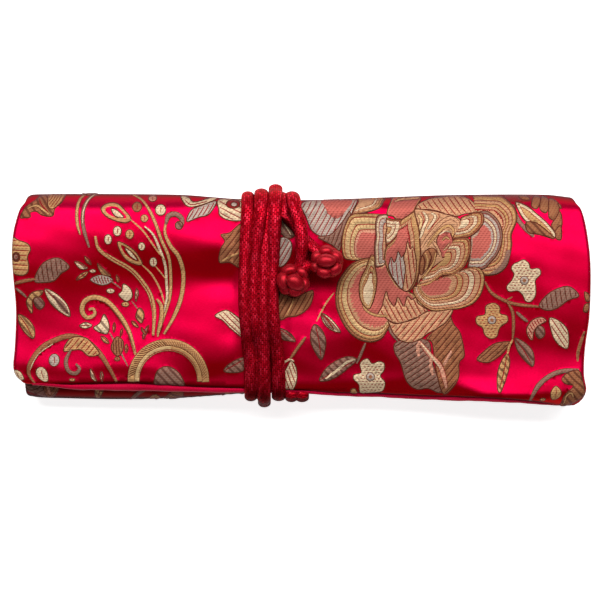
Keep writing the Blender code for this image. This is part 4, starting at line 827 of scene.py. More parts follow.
def build_cover():
    lo = -1.7 * ROLL
    xs = np.linspace(X_L + lo, X_R - lo, 161)
    low_v = v_hem(np.clip(xs, -117, 117)) + lo
    v_top = V_END_COVER
    side_v = np.arange(low_v[-1] + 1.5, v_top, 1.6)
    side_v0 = np.arange(low_v[0] + 1.5, v_top, 1.6)
    outline = [(x, v) for x, v in zip(xs, low_v)]
    outline += [(xs[-1], v) for v in side_v]
    outline += [(x, v_top) for x in xs[::-4]]
    outline += [(xs[0], v) for v in side_v0[::-1]]
    pts = []
    for v_off in (-1.8, -1.1, -0.4, 0.3, 0.9, 1.5):
        xi = np.arange(X_L + lo + 1.0, X_R - lo - 0.9, 1.5)
        pts += [(x, v) for x, v in zip(xi, v_hem(np.clip(xi, -117, 117)) + v_off)]
    rows = np.concatenate([np.arange(-52, 58.0, 1.4), np.arange(60, 168.0, 2.2), np.arange(170, v_top - 1, 4.0)])
    for k, v in enumerate(rows):
        step = 1.5 if v < 59 else 2.3 if v < 169 else 5.0
        xi = np.arange(X_L + 2.2 + (step / 2 if k % 2 else 0), X_R - 2.0, step)
        ok = v > v_hem(xi) + 2.3
        pts += [(x, v) for x in xi[ok]]
        for e in (-2.2, -1.5, -0.8, -0.1, 0.6, 1.3):
            for x in (X_L + e, X_R - e):
                if v > v_hem(np.clip(x, -117, 117)) + 2.3:
                    pts.append((x, v))
    verts = [Vector(p) for p in outline] + [Vector(p) for p in pts]
    faces = [list(range(len(outline)))]
    inks, kinds, rings = ["ground"], ["ground"], []
    for p, ink, kind in repeated(SHAPES):
        start = len(verts)
        p = clean_outline(p)
        rings.append(p)
        verts += [Vector((float(a), float(b))) for a, b in p]
        faces.append(list(range(start, len(verts))))
        inks.append(ink)
        kinds.append(kind)
    v2, _, f2, _, _, orig = delaunay_2d_cdt(verts, [], faces, 0, 1e-4, True)
    uv = np.array([tuple(v) for v in v2])
    f3 = np.array([f if len(f) == 3 else (0, 0, 0) for f in f2])
    e1, e2 = uv[f3[:, 1]] - uv[f3[:, 0]], uv[f3[:, 2]] - uv[f3[:, 0]]
    area2 = np.abs(e1[:, 0] * e2[:, 1] - e1[:, 1] * e2[:, 0]) / 2
    pair_t = np.repeat(np.arange(len(f3)), [len(o) for o in orig])
    pair_o = np.array([i for o in orig for i in o])
    covered = np.bincount(pair_o, weights=area2[pair_t], minlength=len(faces))
    wanted = np.array([area2.sum()] + [abs(np.sum(p[:, 0] * np.roll(p[:, 1], -1) - p[:, 1] * np.roll(p[:, 0], -1))) / 2 for p in rings])
    good = (covered < 1.08 * wanted + 0.3) & (covered > 0.92 * wanted - 0.3)
    good[0] = False
    best = np.zeros(len(f3), int)
    ok = good[pair_o]
    np.maximum.at(best, pair_t[ok], pair_o[ok])
    in_domain = np.zeros(len(f3), bool)
    in_domain[pair_t[pair_o == 0]] = True
    keep = in_domain & (area2 > 5e-6)
    tri, top = f3[keep], best[keep]
    mid = uv[tri].mean(1)
    order = np.argsort(mid[:, 0])
    mx = mid[order, 0]
    for k in np.nonzero(~good[1:])[0]:                 # outlines that cross themselves
        p = rings[k]
        i0, i1 = np.searchsorted(mx, p[:, 0].min()), np.searchsorted(mx, p[:, 0].max())
        idx = order[i0:i1]
        idx = idx[(mid[idx, 1] > p[:, 1].min()) & (mid[idx, 1] < p[:, 1].max())]
        if len(idx):
            hit = idx[winding(p, mid[idx])]
            top[hit] = np.maximum(top[hit], k + 1)
    print("outlines", len(rings), "tested by winding", int((~good[1:]).sum()))
    face_ink = [inks[k] for k in top]
    face_kind = [KIND[kinds[k]] for k in top]
    used = np.unique(tri)
    remap = -np.ones(len(uv), int)
    remap[used] = np.arange(len(used))
    uv, tri = uv[used], remap[tri]
    is_ground = np.array([i == "ground" for i in face_ink])
    raised = np.ones(len(uv), bool)
    raised[tri[is_ground].ravel()] = False
    dark = np.array([i in ("dark", "line") for i in face_ink])
    low = np.zeros(len(uv), bool)
    low[tri[dark].ravel()] = True
    extra = np.where(raised, 0.34, 0.0) - np.where(raised & low, 0.27, 0.0)
    pos, _ = position(uv[:, 0], uv[:, 1], extra)
    obj = make("brocade_panel", pos, tri, brocade_material())
    colours = np.array([(*INK[i], 1.0) for i in face_ink])
    attr = obj.data.attributes.new("ink", "FLOAT_COLOR", "CORNER")
    attr.data.foreach_set("color", np.repeat(colours, 3, axis=0).astype(np.float32).ravel())
    attr = obj.data.attributes.new("kind", "FLOAT", "CORNER")
    attr.data.foreach_set("value", np.repeat(np.array(face_kind, np.float32), 3))
    # painted shade: a mask that darkens the colour under the flap and along the hem
    x, v = uv[:, 0], uv[:, 1]
    hem = np.exp(-(np.maximum(v - v_hem(np.clip(x, -117, 117)) - 0.9, 0) / 0.75) ** 2) * smooth((x + 108) / 12) * smooth((110 - x) / 8) * (v < 0)
    under = 0.72 * smooth((v - 112) / 8) * smooth((182 - v) / 8)
    attr = obj.data.attributes.new("deep", "FLOAT", "POINT")
    attr.data.foreach_set("value", np.maximum(hem * 0.85, under).astype(np.float32))
    set_uv(obj, uv * 0.1)
    print("cover", len(tri), "triangles", len(SHAPES), "shapes")
    return obj


V_END_COVER = 196.0


def brocade_material():
    g = Mat("brocade")
    ink = g.n("Attribute", attribute_name="ink").outputs["Color"]
    kind = g.n("Attribute", attribute_name="kind").outputs["Fac"]
    figure = g.math("GREATER_THAN", kind, 0.5)
    band = g.math("COMPARE", kind, 2.0, 0.3)
    hatch = g.math("COMPARE", kind, 3.0, 0.3)
    fine = g.uv(scale=(1, 1, 1))
    # ground: long satin floats, a little uneven in dye and lie
    floats = g.noise(g.uv(scale=(9.0, 60.0, 1)), 1.0, 2.0)
    cloudy = g.noise(fine, 0.35, 2.0)
    base_c = g.ramp(g.math("ADD", g.math("MULTIPLY", floats, 0.55), g.math("MULTIPLY", cloudy, 0.45)),
                    [(0.3, rgb(184, 0, 44)), (0.55, rgb(200, 3, 58)), (0.8, rgb(210, 8, 72))])
    # the ground's painted shade colour, for cloth that faces the bottom edge
    painted_shade_ground_c = g.ramp(g.math("ADD", g.math("MULTIPLY", floats, 0.55), g.math("MULTIPLY", cloudy, 0.45)),
                    [(0.3, rgb(172, 0, 12)), (0.55, rgb(186, 0, 18)), (0.8, rgb(196, 2, 24))])
    # painted light and shade by the world normal's y: bluer where the cloth faces the top edge, a little darker and
    # browner where it faces the bottom edge. The lights alone don't give this, and it isn't known to be in the weave.
    sep = g.n("SeparateXYZ", {"Vector": g.n("NewGeometry").outputs["Normal"]})
    nz = sep.outputs[2]
    base_c = g.mix(g.ramp(g.math("ADD", g.math("MULTIPLY", sep.outputs[1], 2.4), 0.5), [(0.0, (0, 0, 0)), (0.85, (1, 1, 1))]), painted_shade_ground_c, base_c)
    # figure: weft threads that float over the ground, in short diagonal steps
    twill = g.wave(g.uv(scale=(1, 1, 1), rot=0.6), 2.4, 0.8)
    rows = g.wave(g.uv(scale=(1, 1, 1)), 3.6, 0.5, direction="Y")
    radial = g.noise(g.uv(scale=(7.0, 7.0, 1)), 1.0, 1.0)
    stripe = g.wave(g.uv(scale=(1, 1, 1), rot=-0.75), 1.25, 1.4)
    thread = g.math("ADD", g.math("MULTIPLY", twill, 0.5), g.math("MULTIPLY", rows, 0.5))
    deep = g.mix(0.45, ink, rgb(120, 10, 26))
    c = g.mix(g.ramp(thread, [(0.12, (0, 0, 0)), (0.5, (1, 1, 1))]), deep, ink)
    hc = g.mix(g.ramp(stripe, [(0.2, (0, 0, 0)), (0.42, (1, 1, 1))]), g.mix(0.72, ink, rgb(70, 22, 22)), c)
    c = g.mix(hatch, c, hc)
    floated = g.wave(g.uv(scale=(0.25, 1, 1)), 4.6, 2.6, direction="Y", dscale=3.0)      # weft floats, side by side
    bc = g.mix(g.ramp(g.math("ADD", g.math("MULTIPLY", floated, 0.6), g.math("MULTIPLY", radial, 0.5)), [(0.28, (0, 0, 0)), (0.52, (1, 1, 1))]),
               g.mix(0.5, ink, rgb(120, 56, 34)), ink)
    c = g.mix(band, c, bc)
    wear = g.noise(g.uv(scale=(3, 3, 1)), 1.0, 3.0)
    c = g.mix(g.math("MULTIPLY", wear, 0.22), c, rgb(120, 76, 56))
    # painted shade: darker by the world normal's z, where the cloth turns away round the folds
    side = g.ramp(nz, [(0.3, (1, 1, 1)), (0.84, (0, 0, 0))])
    colour = g.mix(g.math("MULTIPLY", side, 0.78), g.mix(figure, base_c, c), rgb(84, 0, 8))
    # painted shade under the flap and along the hem, weaker on the figure, towards a near-black red
    deep = g.math("MULTIPLY", g.n("Attribute", attribute_name="deep").outputs["Fac"], g.math("SUBTRACT", 1.0, g.math("MULTIPLY", figure, 0.42)))
    colour = g.mix(deep, colour, rgb(56, 2, 4))
    height = g.math("ADD", g.math("MULTIPLY", thread, g.math("MULTIPLY", figure, 1.0)),
                    g.math("MULTIPLY", floats, g.math("SUBTRACT", 0.35, g.math("MULTIPLY", figure, 0.35))))
    normal = g.bump(height, 0.00009, 0.7)
    rough = g.math("ADD", 0.4, g.math("ADD", g.math("MULTIPLY", figure, 0.1), g.math("MULTIPLY", floats, 0.08)))
    metal = g.math("SUBTRACT", 0.8, g.math("MULTIPLY", figure, 0.45))
    return g.done(Base_Color=colour, Roughness=rough, Metallic=metal, Normal=normal, Specular_IOR_Level=0.3, Specular_Tint=colour,
                  Anisotropic=0.3)


def satin_material(name, mid, dark, light, metal=0.6, rough=0.4):
    g = Mat(name)
    floats = g.noise(g.uv(scale=(60.0, 9.0, 1)), 1.0, 2.0)
    cloudy = g.noise(g.uv(), 0.5, 2.0)
    nz = g.n("SeparateXYZ", {"Vector": g.n("NewGeometry").outputs["Normal"]}).outputs[2]
    c = g.ramp(g.math("ADD", g.math("MULTIPLY", floats, 0.6), g.math("MULTIPLY", cloudy, 0.4)), [(0.3, dark), (0.5, mid), (0.75, light)])
    # painted shade: darker by the world normal's z, as on the brocade
    c = g.mix(g.math("MULTIPLY", g.ramp(nz, [(0.25, (1, 1, 1)), (0.8, (0, 0, 0))]), 0.6), c, rgb(84, 0, 8))
    return g.done(Base_Color=c, Roughness=rough, Metallic=metal, Normal=g.bump(floats, 0.00006, 0.6), Specular_Tint=c,
                  Anisotropic=0.3)


# ---- lining, rolled rim and pockets -------------------------------------------
def build_lining(mat):
    xs = np.concatenate([[X_L - 0.4, X_L + 0.6, X_L + 2.0], np.arange(X_L + 5, X_R - 4, 3.0), [X_R - 2.0, X_R - 0.6, X_R + 0.4]])
    vs_n = 110
    verts, uv = [], []
    for x in xs:
        xc = float(np.clip(x, -115.6, 115.6))
        v = np.linspace(v_edge(xc) + 2.2 + 0.8 * hem_back(xc), V_END_COVER - 1.0, vs_n)
        p, n = position(np.full(vs_n, xc), v, np.full(vs_n, -2.5), hem=False)
        p2, _ = position(np.full(vs_n, xc), v, np.full(vs_n, -LAM + 0.12), hem=False)
        edge = abs(x) > 115.6
        verts.append(p if edge else p2)
        uv.append(np.stack([np.full(vs_n, x), v], -1))
    verts, uv = np.concatenate(verts), np.concatenate(uv)
    obj = make("lining_sheet", verts, grid_faces(len(xs), vs_n), mat)
    set_uv(obj, uv * 0.1)
    return obj


def tube(name, path, radius, sides, mat, flat=None, caps=True, up=None):
    """A closed tube along path. radius is one number or one per point; flat is (a, b) scale across and along up."""
    path = np.asarray(path, float)
    n = len(path)
    t = np.gradient(path, axis=0)
    t /= np.linalg.norm(t, axis=1, keepdims=True)
    frames = []
    u = np.cross(t[0], [0.3, 0.1, 1.0])
    u /= np.linalg.norm(u)
    for k in range(n):
        if up is not None:
            w = up[k] - t[k] * np.dot(up[k], t[k])
            w /= np.linalg.norm(w)
            u = np.cross(w, t[k])
        else:
            u = u - t[k] * np.dot(u, t[k])
            u /= np.linalg.norm(u)
            w = np.cross(t[k], u)
        frames.append((u, w))
    r = np.broadcast_to(radius, (n,)).astype(float)
    f = np.ones((n, 2)) if flat is None else np.broadcast_to(flat, (n, 2))
    ang = np.linspace(0, 2 * math.pi, sides, endpoint=False)
    verts, uv = [], []
    s = np.concatenate([[0], np.cumsum(np.linalg.norm(np.diff(path, axis=0), axis=1))])
    for k in range(n):
        u, w = frames[k]
        verts.append(path[k] + np.outer(np.cos(ang) * r[k] * f[k, 0], u) + np.outer(np.sin(ang) * r[k] * f[k, 1], w))
        uv.append(np.stack([np.full(sides, s[k]), ang / (2 * math.pi)], -1))
    verts = np.concatenate(verts)
    faces = [tuple(reversed(q)) for q in grid_faces(n, sides, close=True)]
    if caps:
        faces.append(tuple(range(sides)))
        faces.append(tuple(reversed(range((n - 1) * sides, n * sides))))
    obj = make(name, verts, faces, mat)
    layer = obj.data.uv_layers.new(name="fabric")
    uvs = np.concatenate(uv)
    for poly in obj.data.polygons:
        us = [uvs[i][1] for i in poly.vertices]
        wrap = max(us) - min(us) > 0.5
        for li, vi in zip(poly.loop_indices, poly.vertices):
            a, b = uvs[vi]
            layer.data[li].uv = (a * 0.1, b + (1.0 if wrap and b < 0.5 else 0.0))
    return obj


def build_rim(mat):
    xs = np.linspace(-113.2, 114.2, 300)
    v = v_edge(xs)
    r = 0.75 + 0.3 * hem_back(xs)
    p, n = position(xs, v + r - 0.35, -0.25 - r, hem=False)
    r = r * (1 + 0.05 * np.sin(xs * 0.33 + 0.8 * np.sin(xs * 0.21)) + 0.025 * np.sin(xs * 0.9))
    return tube("satin_rim", p, r, 20, mat, up=n)


def build_pocket(name, xs, ys, low, high, mat, cad):
    """A puffed flat pocket with a flat sewn margin."""
    xx = np.linspace(xs[0], xs[1], 110)
    yy = np.linspace(ys[0], ys[1], 34)
    gx, gy = np.meshgrid(xx, yy, indexing="ij")
    e = np.minimum(np.minimum(gx - xs[0], xs[1] - gx) / 7.0, np.minimum(gy - ys[0], ys[1] - gy) / 4.5)
    k = np.sqrt(1 - (1 - np.clip(e, 0, 1)) ** 2)
    lo, hi = low(gx, gy), high(gx, gy)
    mid, half = (lo + hi) / 2, np.minimum((hi - lo) / 2, 0.16 + ((hi - lo) / 2 - 0.16) * (0.06 + 0.94 * k))
    wob = 0.1 * np.sin(gx * 0.7 + gy) * k
    top = np.stack([gx, gy + 0.09, mid + half - 0.08 + wob * 0.4], -1).reshape(-1, 3)
    bot = np.stack([gx, gy + 0.09, mid - half + 0.08], -1).reshape(-1, 3)
    n, m = gx.shape
    faces = grid_faces(n, m) + [tuple(reversed(f)) for f in grid_faces(n, m, base_index=n * m)]
    ring = [i * m for i in range(n)] + [(n - 1) * m + j for j in range(1, m)] + [i * m + m - 1 for i in range(n - 2, -1, -1)] + [j for j in range(m - 2, 0, -1)]
    for a, b in zip(ring, ring[1:] + ring[:1]):
        faces.append((b, a, a + n * m, b + n * m))
    obj = make(name, np.concatenate([top, bot]), faces, mat)
    set_uv(obj, np.concatenate([np.stack([gx, gy], -1).reshape(-1, 2)] * 2) * 0.1)
    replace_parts(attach(obj, "root"), cad)
    return obj


# ---- the tie cord: path, tubes and knots ---------------------------------------
CORD_D = 4.05
CORD_GAP = 0.1
PITCH = CORD_D
CENTRE = (1.5, 15.6)
REACH = 10.5
HULLS = {}


def hull_at(x):
    """Convex outline of the body at x, which a tight cord follows."""
    key = round(x * 2) / 2
    if key not in HULLS:
        m0, m1, m2 = v_marks(key)
        v = np.linspace(float(v_edge(key)) - 1.0, float(m2), 220)
        y, z = base(np.full_like(v, key), v)
        y = y + 0.09
        h = relief(np.full_like(v, key), v)
        pts = sorted(set((round(float(a), 3), round(float(b + max(c, 0) * (1 if b > 15 else 0)), 3)) for a, b, c in zip(y, z, h)))

        def chain(seq):
            out = []
            for p in seq:
                while len(out) > 1 and ((out[-1][0] - out[-2][0]) * (p[1] - out[-2][1])
                                        - (out[-1][1] - out[-2][1]) * (p[0] - out[-2][0])) <= 0:
                    out.pop()
                out.append(p)
            return out
        a, b = chain(pts), chain(list(reversed(pts)))
        HULLS[key] = np.array(a[:-1] + b[:-1])
    return HULLS[key]


def at(x, turn, lift):
    """Point of the cord's line: turn in degrees about CENTRE, lift above a cord on the body."""
    hull = hull_at(x)
    nxt = np.roll(hull, -1, 0)
    d = nxt - hull
    ll = (d ** 2).sum(1)
    press = 1.2 * float(smooth((turn - 138) / 26) * smooth((222 - turn) / 26)) + 0.3 * float(smooth((24 - turn) / 20))
    want = CORD_D / 2 + CORD_GAP + lift - press    # the turns sink into the padding at the folds
    e = np.array([math.cos(math.radians(turn)), math.sin(math.radians(turn))])
    lo, hi = 0.0, 90.0
    for _ in range(30):
        mid = (lo + hi) / 2
        p = np.array(CENTRE) + e * mid
        rel = p - hull
        inside = bool(np.all(d[:, 0] * rel[:, 1] - d[:, 1] * rel[:, 0] >= 0))
        t = np.clip((rel * d).sum(1) / ll, 0, 1)
        dist = float(np.min(np.linalg.norm(rel - d * t[:, None], axis=1)))
        if inside or dist < want:
            lo = mid
        else:
            hi = mid
    return np.array([x, CENTRE[0] + e[0] * hi, CENTRE[1] + e[1] * hi])


TOP_X = {"s1": -21.7, "s3": -13.6, "s2": -16.2, "s4": -10.4, "end_a": -8.2, "end_b": -4.2}
FRONT_X = {"s1": -23.1, "s2": -19.2, "s3": -15.3, "s4": -11.35}
BOTTOM_X = {"s1": -20.4, "s2": -16.6, "s3": -15.0, "s4": -9.1, "b4": -3.9, "b5": 0.4}
TOP_LIFT = {"s1": 0.0, "s2": 1.3, "s3": -0.4, "s4": 1.5}
BOTTOM_LIFT = {"s1": 0.0, "s2": -0.6, "s3": 1.3, "s4": 0.0}


def y_of(turn):
    a = math.radians(turn)
    return CENTRE[0] + max(-40.0, min(40.0, REACH * math.cos(a) / max(0.02, abs(math.sin(a)))))


def turns(first, last):
    out = [first + 1.5 * k for k in range(13)]
    mid = (first + last) / 2
    out += [t for t in (mid + math.degrees(math.atan((-29.0 + 1.4 * k) / REACH)) for k in range(42)) if first + 18 < t < last - 18]
    return out + [last - 18.0 + 1.5 * k for k in range(13)]


ALONG = table([(-33.0, 0.0), (-30.0, 0.02), (30.0, 0.98), (33.0, 1.0)])


def under_lift(x, turn):
    t = float(ALONG(y_of(turn)))
    lift = 0.0
    for x0, x1 in ((BOTTOM_X["s1"], TOP_X["end_a"]), (BOTTOM_X["s2"], TOP_X["end_b"])):
        near = abs(x - (x0 + (x1 - x0) * t)) * 0.96
        if near < PITCH + 0.1:
            lift = max(lift, math.sqrt((PITCH + 0.1) ** 2 - near * near))
    return lift


def back_pass(x0, x1, over, lift0=0.0, lift1=0.0):
    out = []
    for turn in turns(180.0, 360.0)[1:]:
        t = float(ALONG(y_of(turn)))
        ends = lift0 * float(smooth((212 - turn) / 26)) + lift1 * float(smooth((turn - 328) / 26))
        out.append([x0 + (x1 - x0) * t, turn, max(ends, under_lift(x0 + (x1 - x0) * t, turn) if over else 0.0)])
    if over:
        need = [p[2] for p in out]
        for k, p in enumerate(out):
            window = need[max(0, k - 4):k + 5]
            p[2] = max(need[k], sum(window) / len(window))
    return out


def front_pass(name):
    out = []
    t, f, b = TOP_X[name], FRONT_X[name], BOTTOM_X[name]
    path = table([(-36.0, b), (-18.0, b * 0.5 + f * 0.5), (0.0, f), (22.0, t * 0.42 + f * 0.58), (36.0, t)])
    for turn in turns(0.0, 180.0):
        lift = TOP_LIFT[name] * (1 - float(smooth((turn - 10) / 34))) + BOTTOM_LIFT[name] * float(smooth((turn - 138) / 30))
        out.append([float(path(y_of(turn))), turn, lift])
    return out


def half(start, loops, end):
    x = BOTTOM_X[start]
    line = [[x, 172.0 + 2.0 * k, 0.0] for k in range(4)] + [[x, 180.0, 0.0]]
    low = 0.0
    for name in loops:
        line += back_pass(x, TOP_X[name], True, low, TOP_LIFT[name])
        line += front_pass(name)
        x, low = BOTTOM_X[name], BOTTOM_LIFT[name]
    line += back_pass(x, TOP_X[end], False, low, 0.0)
    return [at(*p) for p in line]


def front_z(x, y):
    v = v_of_y(np.array([x]), np.array([y]))
    p, _ = position(np.array([x]), v, hem=False)
    return float(p[0, 2])


def on_front(x, y, above):
    return np.array([x, y, front_z(x, y) + above])


def through_points(points, step=1.0):
    return catmull(points, closed=False, step=step)


def evened(points, keep=5, times=4):
    p = np.array(points)
    for _ in range(times):
        q = p.copy()
        q[keep:-1] = (p[keep - 1:-2] + p[keep:-1] * 2 + p[keep + 1:]) / 4
        p = q
    return p


def resampled(p, step):
    s = np.concatenate([[0], np.cumsum(np.linalg.norm(np.diff(p, axis=0), axis=1))])
    q = np.linspace(0, s[-1], int(s[-1] / step) + 1)
    return np.stack([np.interp(q, s, p[:, k]) for k in range(3)], -1), s[-1]


LIE = CORD_D / 2 + 0.05
KNOT_R = 7.3
KNOT_B = np.array([float(X_OF(293.6)), float(Y_OF(280.0)), 0.0])
KNOT_A = np.array([float(X_OF(326.6)), float(Y_OF(262.2)), 0.0])
KNOT_B[2] = front_z(KNOT_B[0], KNOT_B[1]) + KNOT_R - 0.2
KNOT_A[2] = front_z(KNOT_A[0], KNOT_A[1]) + KNOT_R - 0.2


def over_top(x0, x1, lift0, lift1):
    return [at(x0 + (x1 - x0) * k / 12, 1.5 * k, lift0 + (lift1 - lift0) * float(smooth(k / 12))) for k in range(1, 13)]


def px_point(px, py, above):
    return on_front(float(X_OF(px)), float(Y_OF(py)), above)


TAIL_A = over_top(TOP_X["end_a"], -6.3, 0.0, 0.0) + [px_point(290.5, 222, LIE), px_point(300, 234, LIE),
                                                       px_point(309, 243.5, LIE + 0.6), np.array([float(X_OF(316)), float(Y_OF(251)), KNOT_A[2] - 1.6]), KNOT_A + (-0.8, 0.8, -0.8)]
TAIL_B = over_top(TOP_X["end_b"], -2.5, 0.0, 2.6) + [px_point(299, 222, LIE + 3.6), px_point(301.6, 237, LIE + 3.9),
                                                       px_point(301.5, 252, LIE + 3.8), np.array([float(X_OF(299.8)), float(Y_OF(266)), KNOT_B[2] + 0.4]), KNOT_B + (0.5, 1.2, 0.0)]


def cord_line(start, loops, end, tail, knot):
    line = half(start, loops, end)
    pts = evened(np.concatenate([np.array(line), through_points([line[-1]] + tail, 1.2)[1:]]))
    return pts


def cord_material():
    g = Mat("tie_cord")
    # knitted satin cord: rows of short bright stitches, each a little different
    u = g.n("UVMap", uv_map="fabric").outputs["UV"]
    sep = g.n("SeparateXYZ", {"Vector": u})
    wob = g.noise(g.uv(scale=(9.0, 6.0, 1)), 1.0, 1.0)
    along = g.math("ADD", g.math("MULTIPLY", sep.outputs[0], 10.0 / 1.7), g.math("MULTIPLY", wob, 0.7))
    across = g.math("ADD", g.math("MULTIPLY", sep.outputs[1], 19.0), g.math("MULTIPLY", wob, 0.5))
    vec = g.n("CombineXYZ", {0: along, 1: across}).outputs[0]
    brick = g.n("TexBrick", {"Vector": vec, "Color1": (0.0, 0.0, 0.0), "Color2": (1.0, 1.0, 1.0), "Mortar": (0.0, 0.0, 0.0), "Scale": 1.0, "Mortar Size": 0.16,
                             "Mortar Smooth": 0.9, "Brick Width": 1.0, "Row Height": 1.0}, offset=0.5)
    sel = g.math("SUBTRACT", 1.0, brick.outputs["Fac"])
    t = g.math("MULTIPLY", sel, g.math("ADD", 0.35, g.math("MULTIPLY", brick.outputs["Color"], 0.65)))
    c = g.ramp(t, [(0.05, rgb(120, 2, 10)), (0.45, rgb(174, 8, 28)), (0.75, rgb(206, 22, 46)), (1.0, rgb(226, 44, 70))])
    # painted shade: darker by the world normal's y, where the cord faces the bottom edge
    ny = g.n("SeparateXYZ", {"Vector": g.n("NewGeometry").outputs["Normal"]}).outputs[1]
    c = g.mix(g.math("MULTIPLY", g.ramp(g.math("ADD", g.math("MULTIPLY", ny, 1.6), 0.85), [(0.1, (1, 1, 1)), (0.85, (0, 0, 0))]), 0.85), c, rgb(60, 0, 0))
    return g.done(Base_Color=c, Roughness=0.46, Metallic=0.7, Normal=g.bump(sel, 0.00012, 0.7), Specular_IOR_Level=0.2, Specular_Tint=c)


def knot_material():
    g = Mat("knot_satin")
    floats = g.noise(g.uv(scale=(3.0, 22.0, 1)), 1.0, 2.0)
    fine = g.wave(g.uv(scale=(1.0, 1.0, 1)), 6.0, 1.2, direction="Y")
    t = g.math("ADD", g.math("MULTIPLY", floats, 0.75), g.math("MULTIPLY", fine, 0.25))
    c = g.ramp(t, [(0.25, rgb(140, 0, 14)), (0.55, rgb(182, 0, 28)), (0.8, rgb(210, 6, 44))])
    # painted shade: darker in the creases between the lobes, found by the surface's pointiness
    painted_crease_shade = g.ramp(g.n("NewGeometry").outputs["Pointiness"], [(0.43, (1, 1, 1)), (0.505, (0, 0, 0))])
    c = g.mix(g.math("MULTIPLY", painted_crease_shade, 0.85), c, rgb(40, 0, 0))
    return g.done(Base_Color=c, Roughness=0.44, Metallic=0.6, Normal=g.bump(t, 0.00006, 0.5), Sheen_Weight=0.05, Sheen_Roughness=0.3,
                  Sheen_Tint=(1.0, 0.6, 0.7), Anisotropic=0.3)


def build_knot(name, centre, lobes, mat, detail=7):
    """A button knot: rounded turns of satin cord round a ball, as one closed surface.

    A lobe is (turn in the view's plane, tilt from the view's axis, twist of its long axis,
    half length, half width), in degrees and millimetres."""
    import bmesh
    bm = bmesh.new()
    bmesh.ops.create_icosphere(bm, subdivisions=detail, radius=1.0)
    d = np.array([v.co[:] for v in bm.verts])
    d /= np.linalg.norm(d, axis=1, keepdims=True)
    tris = np.array([[v.index for v in f.verts] for f in bm.faces])
    bm.free()
    best, which = np.full(len(d), 4.3), np.full(len(d), -1)
    frames = []
    for k, (turn, tilt, twist, a, b) in enumerate(lobes):
        az, el, tw = math.radians(turn), math.radians(tilt), math.radians(twist)
        out = np.array([math.sin(el) * math.cos(az), math.sin(el) * math.sin(az), math.cos(el)])
        down = np.array([math.cos(el) * math.cos(az), math.cos(el) * math.sin(az), -math.sin(el)])
        round_ = np.cross(out, down)
        long = round_ * math.cos(tw) + down * math.sin(tw)
        wide = np.cross(out, long)
        c = 2.5
        at_ = out * (KNOT_R - c)
        m = np.stack([long / a, wide / b, out / c])
        md, mc = d @ m.T, m @ at_
        qa, qb, qc = (md ** 2).sum(1), md @ mc, mc @ mc - 1
        disc = qb * qb - qa * qc
        r = np.where(disc > 0, (qb + np.sqrt(np.maximum(disc, 0))) / qa, 0)
        win = r > best
        best, which = np.where(win, r, best), np.where(win, k, which)
        frames.append((at_, long, wide))
    p = d * best[:, None]
    obj = make(name, p + centre, tris, mat)
    owner = which[tris].max(1)
    at_ = np.array([f[0] for f in frames])[owner]
    long, wide = np.array([f[1] for f in frames])[owner], np.array([f[2] for f in frames])[owner]
    rel = p[tris] - at_[:, None, :]
    uv = np.stack([(rel * long[:, None, :]).sum(-1), (rel * wide[:, None, :]).sum(-1)], -1) * 0.1 + (owner[:, None, None] * 1.7)
    layer = obj.data.uv_layers.new(name="fabric")
    layer.data.foreach_set("uv", uv.astype(np.float32).ravel())
    return obj


def build_collar(name, centre, half, turn, mat):
    """A short barrel of braided cord, where the cord's end is drawn in beside its knot."""
    n, sides = 48, 40
    t = np.linspace(-1, 1, n)
    r = half[1] * (1 - np.abs(t) ** 2.6) ** 0.5 + 0.02
    a = math.radians(turn)
    axis = np.array([math.cos(a), math.sin(a), 0.12])
    axis /= np.linalg.norm(axis)
    path = np.array(centre) + axis * (t * half[0])[:, None]
    return tube(name, path, r, sides, mat)


# ---- put it together -----------------------------------------------------------
cover = build_cover()
satin = satin_material("satin_lining_cloth", rgb(190, 0, 48), rgb(150, 0, 30), rgb(214, 10, 70))
lining = build_lining(satin)
rim = build_rim(satin_material("rim_satin", rgb(200, 14, 58), rgb(164, 4, 38), rgb(220, 30, 80), 0.25, 0.6))
for obj, slot, nodes in ((cover, "brocade", ("brocade_cover", "wadding")), (lining, "satin", ("satin_lining",)), (rim, "satin", ())):
    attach(obj, "root")
    if nodes:
        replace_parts(obj, *nodes)


def low_back(x, y):
    return levels(x)[0] + LAM + GAP


build_pocket("pocket_pad_back", (-108, 108), (-28, 28), low_back, lambda x, y: low_back(x, y) + levels(x)[3], satin, "pocket_back")
build_pocket("pocket_pad_inner", (-108, 108), (-28, 25), lambda x, y: low_back(x, y) + levels(x)[3] + GAP,
             lambda x, y: low_back(x, y) + 2 * levels(x)[3] + GAP, satin, "pocket_inner")


def cad_front(x, y):
    back, inner, front, r1, r2, r3, yc2, zc2, yt, zm = radii(x)
    a = np.clip((y - yc2) / (yt - yc2), 0, 1)
    return zc2 + r1 + (front - zc2 - r1) * smooth(a / 0.4) + CROWN * np.sin(math.pi * a) ** 2


build_pocket("pocket_pad_flap", (-108, 108), (-22, 26), lambda x, y: levels(x)[1] + GAP,
             lambda x, y: np.maximum(np.minimum(levels(x)[1] + GAP + levels(x)[3], cad_front(x, y) - LAM - 0.9 + np.minimum(swell(x, y), 0)),
                                     levels(x)[1] + GAP + 0.6), satin, "pocket_flap")

